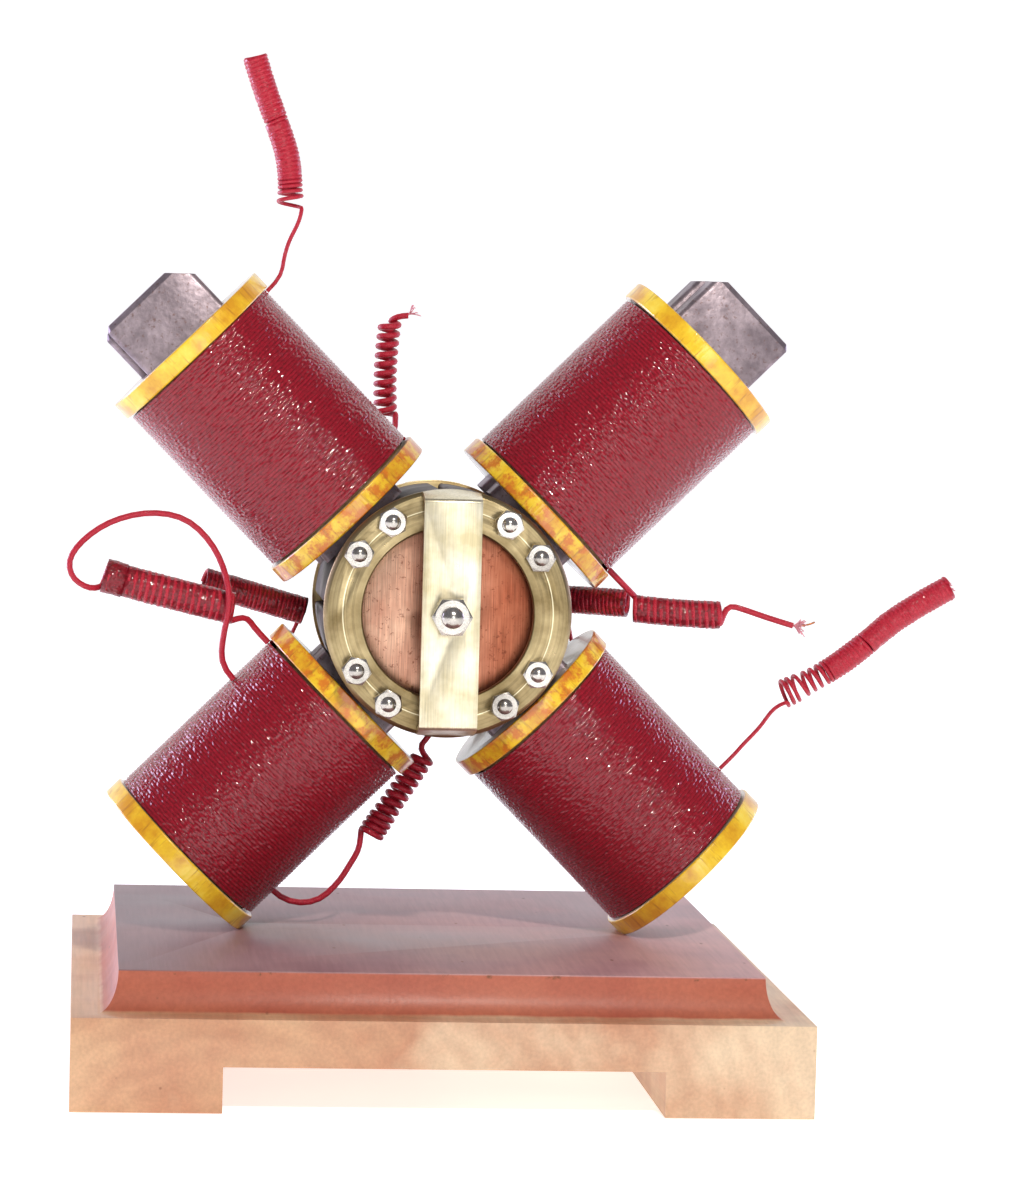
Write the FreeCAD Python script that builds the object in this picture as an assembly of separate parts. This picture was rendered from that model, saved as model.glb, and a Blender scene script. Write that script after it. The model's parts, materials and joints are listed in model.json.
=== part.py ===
"""Demonstration electric motor: four coils in an X round a copper rotor, on a moulded wooden base.

Millimetres. +X right, +Y back, +Z up. The origin is the centre of the base's underside.
A pole's own frame has X along the pole, away from the rotor, Z across it and Y along the shaft.
"""
import FreeCAD, Part
import math
import os

from FreeCAD import Placement, Rotation, Vector

# Base board
BASE_SIDE = 200.0
LEDGE_TOP = 25.2
PLATEAU_TOP = 36.4
LEDGE_WIDTH = 6.8
COVE_WIDTH = 5.7
FOOT_WIDTH = 40.6
CHANNEL_HEIGHT = 12.4

# Shaft line of the motor over the base
SHAFT_X = 3.0
RIM_SINK = 0.8

# Rotor and the gap round it
ROTOR_RADIUS = 25.5
AIR_GAP = 0.75
DRUM_WALL = 2.0
END_DISC_THICKNESS = 2.0
ROTOR_END_ROOM = 1.5
SHAFT_RADIUS = 4.0
SHAFT_PROUD = 4.0

# Rings, studs and nuts that clamp the pole shoes
RING_OVERHANG = 0.8
RING_LAP = 1.4
RING_THICKNESS = 3.0
RING_CHAMFER = 1.2
RING_HOLE_CHAMFER = 0.4
STUD_HALF_ANGLE = 12.3
STUD_RADIUS = 2.15
STUD_PROUD = 1.5
STUD_NUT_ACROSS = 7.4
STUD_NUT_THICKNESS = 3.4
HOLE_CLEARANCE = 0.1

# Pole shoes, bored to the rotor and turned outside, with a flat seat for the core bars
SHOE_LENGTH = 59.0
BORE_TO_STUD_WALL = 1.9
STUD_TO_RIM_WALL = 1.75
SEAT_DEPTH = 1.9
SHOE_SPLIT = 2.4
SHOE_EDGE_RADIUS = 1.0

# Coil bobbins
SHOE_TO_FLANGE_GAP = 1.7
FLANGE_PROUD = 1.1
FLANGE_THICKNESS = 5.4
FLANGE_EDGE_RADIUS = 0.5
COIL_LENGTH = 69.8
FORMER_RADIUS = 23.8
FORMER_WALL = 1.0
FORMER_LET_IN = 1.0
WINDING_DEPTH = 2.6
WINDING_CLEARANCE = 0.05
WINDING_EDGE_RADIUS = 0.5

# Core bars, two side by side in each coil
BAR_WIDTH = 29.4
BAR_THICKNESS = 14.6
BAR_SPACING = 0.2
BAR_EDGE_RADIUS = 1.6
BAR_END_RADIUS = 1.5
BAR_CLEARANCE = 0.15
UPPER_CORE_PROUD = 17.5
REAR_BAR_SHIFT = 1.8
REAR_BAR_SHORTER = 1.6
UPPER_LEFT_CORNER_CUT = 6.0
UPPER_RIGHT_CORNER_CUT = 3.4

# Bridge straps that carry the pivot screws
BRIDGE_WIDTH = 16.2
BRIDGE_THICKNESS = 1.8
BRIDGE_HEIGHT = 10.0
BRIDGE_LOWER_INSET = 0.8
BRIDGE_LEG_SPLAY = 2.5
BRIDGE_BEND_RADIUS = 1.4

# Pivot screws and their lock nuts
PIVOT_RADIUS = 3.0
PIVOT_TIP_RADIUS = 1.5
PIVOT_TIP_LENGTH = 5.4
PIVOT_PROUD = 3.2
PIVOT_END_ROOM = 1.6
PIVOT_NUT_ACROSS = 10.0
PIVOT_NUT_THICKNESS = 5.0
RUNNING_CLEARANCE = 0.05
SHAFT_BORE_SPARE = 1.2

# Thin screws from the channel of the base into the corners of the lower flanges
FIXING_RADIUS = 0.7
FIXING_HEAD_RADIUS = 1.6
FIXING_HEAD_HEIGHT = 1.1
FIXING_HEAD_SINK = 6.0
FIXING_BITE = 5.0
FIXING_LEAN = 10.0

# Covered wire of the leads, and the outsides of the helices that they are wound into
WIRE_DIAMETER = 1.2
SLEEVED_WIRE_DIAMETER = 1.8
SLIM_HELIX_DIAMETER = 7.0
MID_HELIX_DIAMETER = 8.2
FAT_HELIX_DIAMETER = 9.4
EXIT_RUN = 5.5
EXIT_FROM_OUTER = 1.0
EXIT_FROM_INNER = 1.4

# Sizes that follow from the ones above
SHOE_BORE_RADIUS = ROTOR_RADIUS + AIR_GAP
STUD_CIRCLE_RADIUS = SHOE_BORE_RADIUS + BORE_TO_STUD_WALL + STUD_RADIUS
SHOE_RADIUS = STUD_CIRCLE_RADIUS + STUD_RADIUS + STUD_TO_RIM_WALL
SEAT_DISTANCE = SHOE_RADIUS - SEAT_DEPTH
RING_RADIUS = SHOE_RADIUS + RING_OVERHANG
RING_HOLE_RADIUS = ROTOR_RADIUS - RING_LAP
WINDING_RADIUS = FORMER_RADIUS + WINDING_DEPTH
FLANGE_RADIUS = WINDING_RADIUS + FLANGE_PROUD
COIL_START = SHOE_RADIUS + SHOE_TO_FLANGE_GAP
FLANGE_OUTER_FACE = COIL_START + COIL_LENGTH
WINDING_START = COIL_START + FLANGE_THICKNESS
WINDING_END = FLANGE_OUTER_FACE - FLANGE_THICKNESS
SHAFT_Z = PLATEAU_TOP - RIM_SINK + (FLANGE_OUTER_FACE + FLANGE_RADIUS) / math.sqrt(2.0)
RING_INNER_Y = SHOE_LENGTH / 2.0
RING_FRONT_Y = RING_INNER_Y + RING_THICKNESS
BRIDGE_OUTER_Y = RING_FRONT_Y + BRIDGE_HEIGHT
ROTOR_HALF_LENGTH = RING_INNER_Y - ROTOR_END_ROOM
SHAFT_HALF_LENGTH = ROTOR_HALF_LENGTH + SHAFT_PROUD

UP = Vector(0, 0, 1)
BACKWARD = Vector(0, 1, 0)
CENTRE = Vector(SHAFT_X, 0, SHAFT_Z)
POLES = ("upper_right", "upper_left", "lower_left", "lower_right")
POLE_PITCH = 360.0 / len(POLES)
POLE_ANGLES = {pole: POLE_PITCH * (place + 0.5) for place, pole in enumerate(POLES)}

os.makedirs("parts", exist_ok=True)


def export(name, shape):
    """Write one piece, or a group of like pieces, to its own file."""
    shape.exportStep("parts/" + name + ".step")
    print(name, len(shape.Solids), "solids", round(shape.Volume, 1), "mm3")


def block(x0, x1, y0, y1, z0, z1):
    """A box between two corners."""
    return Part.makeBox(x1 - x0, y1 - y0, z1 - z0, Vector(x0, y0, z0))


def extruded(points, direction):
    """A prism on a closed outline."""
    return Part.Face(Part.makePolygon(points + [points[0]])).extrude(direction)


def turned(profile):
    """A solid turned about the Y axis from (radius, y) points, the last one joined to the first."""
    points = [Vector(radius, y, 0) for radius, y in profile]
    face = Part.Face(Part.makePolygon(points + [points[0]]))
    return face.revolve(Vector(0, 0, 0), BACKWARD, 360)


def on_shaft(shape):
    """Move a piece that was made round the Y axis to the shaft line."""
    return moved(shape, Placement(CENTRE, Rotation()))


def moved(shape, placement):
    """A copy of a shape under a placement."""
    copy = shape.copy()
    copy.Placement = placement.multiply(copy.Placement)
    return copy


def flipped_to_rear(shape):
    """The rear twin of a front piece, turned half round about the vertical line through the shaft."""
    return moved(shape, Placement(Vector(0, 0, 0), Rotation(UP, 180)))


def in_pole(shape, pole):
    """Move a piece from a pole's own frame to its place on the motor."""
    return moved(shape, Placement(CENTRE, Rotation(Vector(0, -1, 0), POLE_ANGLES[pole])))


def pole_point(pole, along, across, y):
    """A point given in a pole's own frame."""
    return Placement(CENTRE, Rotation(Vector(0, -1, 0), POLE_ANGLES[pole])).multVec(Vector(along, y, across))


def edges_along(shape, direction):
    """The straight edges of a shape that run along a direction."""
    found = []
    for edge in shape.Edges:
        if edge.Curve.TypeId != "Part::GeomLine":
            continue
        if abs(abs(edge.Curve.Direction.dot(direction)) - 1.0) < 1e-6:
            found.append(edge)
    return found


def y_cylinder(radius, y0, y1, x=0.0, z=0.0):
    """A cylinder along Y between two Y values."""
    return Part.makeCylinder(radius, y1 - y0, Vector(x, y0, z), BACKWARD)


def hex_nut(across, thickness, bore_radius):
    """A hexagon nut along Y with chamfered corners, resting on y = 0 and rising towards -Y."""
    corner = across / math.sqrt(3.0)
    face_radius = 0.95 * across / 2.0
    drop = (corner - face_radius) * math.tan(math.radians(30.0))
    outline = []
    for step in range(6):
        angle = math.radians(60.0 * step)
        outline.append(Vector(corner * math.cos(angle), 0, corner * math.sin(angle)))
    prism = extruded(outline, Vector(0, -thickness, 0))
    rounded = turned([(0, 0), (face_radius, 0), (corner, -drop), (corner, drop - thickness),
                      (face_radius, -thickness), (0, -thickness)])
    return prism.common(rounded).cut(y_cylinder(bore_radius, -thickness - 1, 1))


def domed_rod(radius, y0, y1, dome):
    """A rod along Y with a rounded end at each of its two ends."""
    sphere = (radius ** 2 + dome ** 2) / (2.0 * dome)
    near = Part.makeSphere(sphere, Vector(0, y0 + sphere, 0))
    far = Part.makeSphere(sphere, Vector(0, y1 - sphere, 0))
    middle = (y0 + y1) / 2.0
    front = y_cylinder(radius, y0, middle).common(near.fuse(y_cylinder(2 * radius, y0 + dome, middle)))
    back = y_cylinder(radius, middle, y1).common(far.fuse(y_cylinder(2 * radius, middle, y1 - dome)))
    return front.fuse(back).removeSplitter()


def fixing_line(pole):
    """Start, direction and length of a fixing screw, from its head in the channel to its tip in a flange."""
    side = 1.0 if pole == "lower_left" else -1.0
    corner = pole_point(pole, FLANGE_OUTER_FACE, side * FLANGE_RADIUS, 0.0)
    lean = math.radians(FIXING_LEAN)
    upward = Vector(-side * math.sin(lean), 0, math.cos(lean))
    reach = (corner.z - CHANNEL_HEIGHT) / upward.z
    head = corner - upward * (reach - FIXING_HEAD_SINK)
    return head, upward, reach - FIXING_HEAD_SINK + FIXING_BITE


def fixing_screw(pole, spare):
    """A slanted countersunk wood screw, or with spare room the hole for it."""
    head, upward, length = fixing_line(pole)
    radius = FIXING_RADIUS + spare
    head_radius = FIXING_HEAD_RADIUS + spare
    shank = Part.makeCylinder(radius, length - radius, head, upward)
    tip = Part.makeCone(radius, radius / 4.0, radius, head + upward * (length - radius), upward)
    cone = Part.makeCone(head_radius, radius, FIXING_HEAD_HEIGHT, head, upward)
    return shank.fuse([tip, cone]).removeSplitter()


def base_board(lower_flanges):
    """The board: ledge, plateau, cove all round, channel beneath, and seats for the lower flanges."""
    half = BASE_SIDE / 2.0
    cove_foot = half - LEDGE_WIDTH
    board = block(-half, half, -half, half, 0, LEDGE_TOP)
    plateau = block(-cove_foot, cove_foot, -cove_foot, cove_foot, LEDGE_TOP, PLATEAU_TOP)
    rise = PLATEAU_TOP - LEDGE_TOP
    centre = Vector(cove_foot, -half, PLATEAU_TOP)
    hollow = Part.Ellipse(centre + UP * rise, centre + Vector(COVE_WIDTH, 0, 0), centre)
    cutter = Part.Face(Part.Wire(hollow.toShape())).extrude(Vector(0, BASE_SIDE, 0))
    for quarter in range(4):
        plateau = plateau.cut(moved(cutter, Placement(Vector(0, 0, 0), Rotation(UP, 90.0 * quarter))))
    board = board.fuse(plateau).removeSplitter()
    channel_half = half - FOOT_WIDTH
    board = board.cut(block(-channel_half, channel_half, -half - 1, half + 1, -1, CHANNEL_HEIGHT))
    for pole, flange in lower_flanges.items():
        head, upward, _ = fixing_line(pole)
        board = board.cut(flange)
        board = board.cut(fixing_screw(pole, HOLE_CLEARANCE))
        sink_radius = FIXING_HEAD_RADIUS + HOLE_CLEARANCE
        sink = Part.makeCylinder(sink_radius, 2 * FIXING_HEAD_SINK, head, upward * -1)
        board = board.cut(sink)
    return board


def stud_positions():
    """Centres of the clamp studs on their circle, a pair at each pole."""
    places = []
    for angle in POLE_ANGLES.values():
        for side in (-1.0, 1.0):
            turn = math.radians(angle + side * STUD_HALF_ANGLE)
            places.append((STUD_CIRCLE_RADIUS * math.cos(turn), STUD_CIRCLE_RADIUS * math.sin(turn)))
    return places


def clamp_ring():
    """The front ring round the Y axis, chamfered, with a hole for each stud."""
    front = -RING_FRONT_Y
    back = -RING_INNER_Y
    ring = turned([(RING_HOLE_RADIUS, back), (RING_HOLE_RADIUS, front + RING_HOLE_CHAMFER),
                   (RING_HOLE_RADIUS + RING_HOLE_CHAMFER, front), (RING_RADIUS - RING_CHAMFER, front),
                   (RING_RADIUS, front + RING_CHAMFER), (RING_RADIUS, back)])
    for x, z in stud_positions():
        ring = ring.cut(y_cylinder(STUD_RADIUS + HOLE_CLEARANCE, front - 1, back + 1, x, z))
    return ring


def bridge_strap():
    """The front bridge: a flat strap whose two legs splay back to the ring, drilled for the pivot screw."""
    outer = -BRIDGE_OUTER_Y
    foot = -RING_FRONT_Y
    inner = outer + BRIDGE_THICKNESS
    lean = math.atan2(BRIDGE_LEG_SPLAY, BRIDGE_HEIGHT)
    leg_width = BRIDGE_THICKNESS / math.cos(lean)
    inset = BRIDGE_LEG_SPLAY + leg_width - BRIDGE_THICKNESS * math.tan(lean)
    top = RING_RADIUS
    bottom = BRIDGE_LOWER_INSET - RING_RADIUS
    outline = [(top, foot), (top - BRIDGE_LEG_SPLAY, outer), (bottom + BRIDGE_LEG_SPLAY, outer),
               (bottom, foot), (bottom + leg_width, foot), (bottom + inset, inner),
               (top - inset, inner), (top - leg_width, foot)]
    points = [Vector(-BRIDGE_WIDTH / 2.0, y, z) for z, y in outline]
    strap = extruded(points, Vector(BRIDGE_WIDTH, 0, 0))
    bends = []
    for edge in edges_along(strap, Vector(1, 0, 0)):
        if abs(edge.Vertexes[0].Point.y - outer) < 1e-6:
            bends.append(edge)
    strap = strap.makeFillet(BRIDGE_BEND_RADIUS, bends)
    strap = strap.common(y_cylinder(RING_RADIUS, outer - 1, foot))
    return strap.cut(y_cylinder(PIVOT_RADIUS + RUNNING_CLEARANCE, outer - 1, inner + 1))


def pivot_screw():
    """The front pivot screw: a domed shank through the bridge and a turned tip in the shaft's end."""
    outer_end = -(BRIDGE_OUTER_Y + PIVOT_NUT_THICKNESS + PIVOT_PROUD)
    shoulder = -(SHAFT_HALF_LENGTH + PIVOT_END_ROOM)
    shank = domed_rod(PIVOT_RADIUS, outer_end, shoulder + 3 * PIVOT_PROUD, PIVOT_PROUD / 2.0)
    shank = shank.common(y_cylinder(2 * PIVOT_RADIUS, outer_end - 1, shoulder))
    tip_end = shoulder + PIVOT_TIP_LENGTH
    cone = PIVOT_TIP_RADIUS / 2.0
    tip = turned([(0, shoulder), (PIVOT_TIP_RADIUS, shoulder), (PIVOT_TIP_RADIUS, tip_end - cone),
                  (PIVOT_TIP_RADIUS / 3.0, tip_end), (0, tip_end)])
    return shank.fuse(tip).removeSplitter()


def rotor_shaft():
    """The shaft, with a blind bearing bore in each end for a pivot screw's tip."""
    edge = 0.5
    shaft = turned([(0, -SHAFT_HALF_LENGTH), (SHAFT_RADIUS - edge, -SHAFT_HALF_LENGTH),
                    (SHAFT_RADIUS, edge - SHAFT_HALF_LENGTH), (SHAFT_RADIUS, SHAFT_HALF_LENGTH - edge),
                    (SHAFT_RADIUS - edge, SHAFT_HALF_LENGTH), (0, SHAFT_HALF_LENGTH)])
    depth = PIVOT_TIP_LENGTH - PIVOT_END_ROOM + SHAFT_BORE_SPARE
    bore = PIVOT_TIP_RADIUS + RUNNING_CLEARANCE
    shaft = shaft.cut(y_cylinder(bore, -SHAFT_HALF_LENGTH - 1, depth - SHAFT_HALF_LENGTH))
    return shaft.cut(y_cylinder(bore, SHAFT_HALF_LENGTH - depth, SHAFT_HALF_LENGTH + 1))


def tube(outer, inner, y0, y1):
    """A tube or a drilled disc along Y."""
    return y_cylinder(outer, y0, y1).cut(y_cylinder(inner, y0 - 1, y1 + 1))


def pole_shoe():
    """A pole shoe in its pole's frame: a turned sector, bored to the rotor and mitred to its neighbours."""
    lean = SHOE_SPLIT / math.sqrt(2.0)
    far = 2.0 * SHOE_RADIUS
    y0 = -SHOE_LENGTH / 2.0
    outline = [Vector(lean, y0, 0), Vector(far + lean, y0, far), Vector(far + lean, y0, -far)]
    sector = extruded(outline, Vector(0, SHOE_LENGTH, 0))
    shoe = sector.common(y_cylinder(SHOE_RADIUS, y0, -y0))
    shoe = shoe.cut(block(SEAT_DISTANCE, far, y0 - 1, -y0 + 1, -far, far))
    rounded = []
    for edge in edges_along(shoe, BACKWARD):
        place = edge.Vertexes[0].Point
        if abs(place.z) > SEAT_DISTANCE / 2.0:
            rounded.append(edge)
    shoe = shoe.makeFillet(SHOE_EDGE_RADIUS, rounded)
    shoe = shoe.cut(y_cylinder(SHOE_BORE_RADIUS, y0 - 1, -y0 + 1))
    for side in (-1.0, 1.0):
        turn = math.radians(side * STUD_HALF_ANGLE)
        x = STUD_CIRCLE_RADIUS * math.cos(turn)
        z = STUD_CIRCLE_RADIUS * math.sin(turn)
        shoe = shoe.cut(y_cylinder(STUD_RADIUS + HOLE_CLEARANCE, y0 - 1, -y0 + 1, x, z))
    return shoe


def bar_places(pole):
    """Y range, sideways shift and end distance of the front and the rear core bar of a pole."""
    half_gap = BAR_SPACING / 2.0
    upper = pole.startswith("upper")
    proud = UPPER_CORE_PROUD if upper else 0.0
    shift = REAR_BAR_SHIFT if upper else 0.0
    shorter = REAR_BAR_SHORTER if upper else 0.0
    front = (-half_gap - BAR_THICKNESS, -half_gap, 0.0, FLANGE_OUTER_FACE + proud)
    rear = (half_gap, half_gap + BAR_THICKNESS, shift, FLANGE_OUTER_FACE + proud - shorter)
    return [front, rear]


def core_bars(pole):
    """The two steel bars of a core, edges rounded, one outer corner of each upper bar cut off."""
    cuts = {"upper_left": (-1.0, UPPER_LEFT_CORNER_CUT), "upper_right": (1.0, UPPER_RIGHT_CORNER_CUT)}
    bars = []
    for y0, y1, shift, end in bar_places(pole):
        low = shift - BAR_WIDTH / 2.0
        high = shift + BAR_WIDTH / 2.0
        bar = block(SEAT_DISTANCE, end, y0, y1, low, high)
        long_edges = edges_along(bar, Vector(1, 0, 0))
        bar = bar.makeFillet(BAR_EDGE_RADIUS, long_edges)
        ends = []
        for edge in edges_along(bar, BACKWARD):
            if abs(edge.Vertexes[0].Point.x - end) < 1e-6:
                ends.append(edge)
        bar = bar.makeChamfer(BAR_END_RADIUS, ends)
        if pole in cuts:
            side, cut = cuts[pole]
            corner_z = high if side > 0 else low
            wedge = [Vector(end, y0 - 1, corner_z), Vector(end - cut, y0 - 1, corner_z),
                     Vector(end, y0 - 1, corner_z - side * cut)]
            bar = bar.cut(extruded(wedge, Vector(0, BAR_THICKNESS + 2, 0)))
        bars.append(bar)
    return Part.makeCompound(bars)


def coil_disc(radius, start, end, edge):
    """A disc along a pole's axis with rounded rims."""
    disc = Part.makeCylinder(radius, end - start, Vector(start, 0, 0), Vector(1, 0, 0))
    rims = [e for e in disc.Edges if e.Curve.TypeId == "Part::GeomCircle"]
    return disc.makeFillet(edge, rims)


def flange(pole, start, recess_start):
    """A wooden end flange, slotted for the core bars and recessed for the former's end."""
    disc = coil_disc(FLANGE_RADIUS, start, start + FLANGE_THICKNESS, FLANGE_EDGE_RADIUS)
    for y0, y1, shift, _ in bar_places(pole):
        half = BAR_WIDTH / 2.0 + BAR_CLEARANCE
        slot = block(start - 1, start + FLANGE_THICKNESS + 1, y0 - BAR_CLEARANCE, y1 + BAR_CLEARANCE,
                     shift - half, shift + half)
        disc = disc.cut(slot)
    recess = Part.makeCylinder(FORMER_RADIUS + WINDING_CLEARANCE, FORMER_LET_IN, Vector(recess_start, 0, 0),
                               Vector(1, 0, 0))
    return disc.cut(recess)


def former_tube():
    """The tube that the coil is wound on, let into both flanges."""
    start = WINDING_START - FORMER_LET_IN
    length = WINDING_END + FORMER_LET_IN - start
    outer = Part.makeCylinder(FORMER_RADIUS, length, Vector(start, 0, 0), Vector(1, 0, 0))
    inner = Part.makeCylinder(FORMER_RADIUS - FORMER_WALL, length, Vector(start, 0, 0), Vector(1, 0, 0))
    return outer.cut(inner)


def winding():
    """The wound wire as one closed ring of its true outer size."""
    start = WINDING_START + WINDING_CLEARANCE
    end = WINDING_END - WINDING_CLEARANCE
    outer = coil_disc(WINDING_RADIUS, start, end, WINDING_EDGE_RADIUS)
    inner = Part.makeCylinder(FORMER_RADIUS + WINDING_CLEARANCE, end - start, Vector(start, 0, 0),
                              Vector(1, 0, 0))
    return outer.cut(inner)


def rounded_route(points, label):
    """A wire of straight runs joined by tangent arcs, as large as the runs allow."""
    edges = []
    radii = []
    start = points[0]
    for before, corner, after in zip(points, points[1:], points[2:]):
        inward = (corner - before).normalize()
        outward = (after - corner).normalize()
        half_turn = inward.getAngle(outward) / 2.0
        back_off = 0.45 * min((corner - before).Length, (after - corner).Length)
        radii.append(back_off / math.tan(half_turn))
        enter = corner - inward * back_off
        leave = corner + outward * back_off
        sag = radii[-1] / math.cos(half_turn) - radii[-1]
        middle = corner + (outward - inward).normalize() * sag
        edges.append(Part.LineSegment(start, enter).toShape())
        edges.append(Part.Arc(enter, middle, leave).toShape())
        start = leave
    edges.append(Part.LineSegment(start, points[-1]).toShape())
    print(label, "radii", [round(radius, 1) for radius in radii])
    return Part.Wire(edges)


def round_tube(points, diameter, label):
    """A plain round tube along a rounded route."""
    route = rounded_route(points, label)
    direction = (points[1] - points[0]).normalize()
    section = Part.Wire(Part.Circle(points[0], direction, diameter / 2.0).toShape())
    pipe = Part.BRepOffsetAPI.MakePipeShell(route)
    pipe.setFrenetMode(False)
    pipe.add(section)
    pipe.build()
    pipe.makeSolid()
    solid = pipe.shape()
    expected = math.pi * diameter ** 2 / 4.0 * route.Length
    share = round(solid.Volume / expected, 4)
    print(label, "length", round(route.Length, 1), "volume", share, "of expected")
    return solid


def winding_exit(pole, along, angle):
    """The point where a lead leaves a winding, and a point straight out from it.

    The angle runs from across the pole towards the back, in degrees.
    """
    turn = math.radians(angle)
    points = []
    for radius in (WINDING_RADIUS + 0.02, WINDING_RADIUS + EXIT_RUN):
        points.append(pole_point(pole, along, radius * math.cos(turn), radius * math.sin(turn)))
    return points


def vectors(points):
    """Vectors from rows of coordinates."""
    return [Vector(*point) for point in points]


def export_lead(name, diameter, wires, helix, helix_diameter):
    """Write one lead: its free wire, its helix, and a loop or tail where it has one.

    Wires go by the last word of their node's name, and all the routes of one node are one file.
    """
    for part, routes in wires.items():
        tubes = [round_tube(route, diameter, name + " " + part) for route in routes]
        shape = tubes[0] if len(tubes) == 1 else Part.makeCompound(tubes)
        export(name + "_lead_" + part, shape)
    export(name + "_lead_helix", round_tube(helix, helix_diameter, name + " helix"))


def build_leads():
    """The free wire of each lead, and the closed outer shape of each helix."""
    near_outer = WINDING_END - EXIT_FROM_OUTER
    near_inner = WINDING_START + EXIT_FROM_INNER

    leave = winding_exit("upper_left", near_outer, 180.0)
    wire = vectors([(-44.0, 0, 228.4), (-42.6, 0, 233.4), (-40.0, 0, 238.4), (-42.6, 0, 242.6)])
    helix = vectors([(-42.6, 0, 242.6), (-42.4, 0, 254.0), (-46.8, 0, 266.5), (-50.8, 0, 276.5),
                     (-53.6, 0, 285.0)])
    export_lead("upper_left_outer", WIRE_DIAMETER, {"wire": [leave + wire]}, helix, SLIM_HELIX_DIAMETER)

    leave = winding_exit("upper_left", near_inner, 141.0)
    wire = vectors([(-9.4, 21.6, 184.4)])
    helix = vectors([(-12.2, 21.6, 183.4), (-13.6, 20.5, 196.0), (-11.8, 20.0, 211.0)])
    export_lead("upper_left_inner", SLEEVED_WIRE_DIAMETER, {"wire": [leave + wire]}, helix,
                SLIM_HELIX_DIAMETER)

    leave = winding_exit("lower_left", near_inner, 180.0)
    wire = vectors([(-52.4, -2.6, 126.0), (-56.6, -4.6, 128.2)])
    helix = vectors([(-56.6, -4.6, 128.2), (-75.0, -5.6, 132.3), (-93.0, -5.0, 136.9)])
    loop = vectors([(-93.0, -5.2, 133.6), (-97.6, -5.4, 133.0), (-102.4, -5.4, 136.0),
                    (-103.4, -5.6, 141.6), (-98.8, -5.6, 147.6), (-91.0, -5.4, 152.8),
                    (-80.5, -5.2, 155.4), (-70.4, -6.0, 154.0), (-63.0, -7.6, 147.4),
                    (-58.8, -10.4, 139.0), (-57.2, -12.0, 130.0), (-59.2, -10.0, 120.6)])
    loop.extend(reversed(winding_exit("lower_left", near_inner + 14.3, 190.0)))
    export_lead("lower_left_inner", SLEEVED_WIRE_DIAMETER, {"wire": [leave + wire], "loop": [loop]}, helix,
                FAT_HELIX_DIAMETER)

    leave = winding_exit("lower_left", near_outer - 8.0, 8.0)
    wire = vectors([(-30.0, 3.8, 42.8), (-23.6, 5.4, 48.6), (-20.4, 6.6, 53.8), (-17.6, 7.4, 58.4),
                    (-14.6, 8.0, 62.6)])
    helix = vectors([(-14.6, 8.0, 62.6), (-7.0, 9.0, 74.0), (0.4, 9.4, 85.2)])
    tail = vectors([(-2.8, 8.6, 84.0), (-1.4, 8.0, 88.4), (2.9, 7.4, 92.4), (3.0, 7.0, 97.8)])
    export_lead("lower_left_outer", SLEEVED_WIRE_DIAMETER, {"wire": [leave + wire, tail]}, helix,
                SLIM_HELIX_DIAMETER)

    leave = winding_exit("lower_left", near_inner, 125.0)
    wire = vectors([(-38.2, 28.0, 118.0), (-36.0, 27.0, 123.0), (-35.2, 26.0, 127.6)])
    helix = vectors([(-34.6, 22.6, 126.0), (-47.6, 21.6, 129.6), (-64.0, 20.0, 134.2)])
    export_lead("left_rear", WIRE_DIAMETER, {"wire": [leave + wire]}, helix, MID_HELIX_DIAMETER)

    leave = winding_exit("lower_right", near_inner, 55.0)
    wire = vectors([(44.5, 28.2, 119.0), (43.2, 26.0, 124.8), (42.8, 20.6, 130.0)])
    helix = vectors([(40.0, 17.8, 131.4), (49.4, 13.4, 131.4), (58.6, 9.8, 131.0)])
    export_lead("right_rear", WIRE_DIAMETER, {"wire": [leave + wire]}, helix, MID_HELIX_DIAMETER)

    leave = winding_exit("upper_right", near_inner, 180.0)
    wire = vectors([(60.8, 2.6, 132.4)])
    helix = vectors([(60.0, 3.6, 130.0), (72.0, 1.6, 128.9), (84.6, 0.4, 128.8)])
    tail = vectors([(84.6, 0.3, 131.9), (91.6, 0.2, 130.6), (98.8, 0.2, 128.2), (106.0, 0.2, 126.2)])
    export_lead("upper_right_inner", SLEEVED_WIRE_DIAMETER, {"wire": [leave + wire], "tail": [tail]}, helix,
                MID_HELIX_DIAMETER)

    leave = winding_exit("lower_right", near_outer - 8.5, 0.0)
    wire = vectors([(92.4, 0, 91.4), (97.4, 0, 96.6), (100.8, 0, 102.0), (103.6, 0, 106.2)])
    helix = vectors([(103.6, 0, 106.2), (115.4, 0, 112.0), (126.5, 0, 120.4), (137.5, 0, 130.4),
                     (151.5, 0, 138.2)])
    export_lead("lower_right_outer", WIRE_DIAMETER, {"wire": [leave + wire]}, helix, SLIM_HELIX_DIAMETER)


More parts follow.
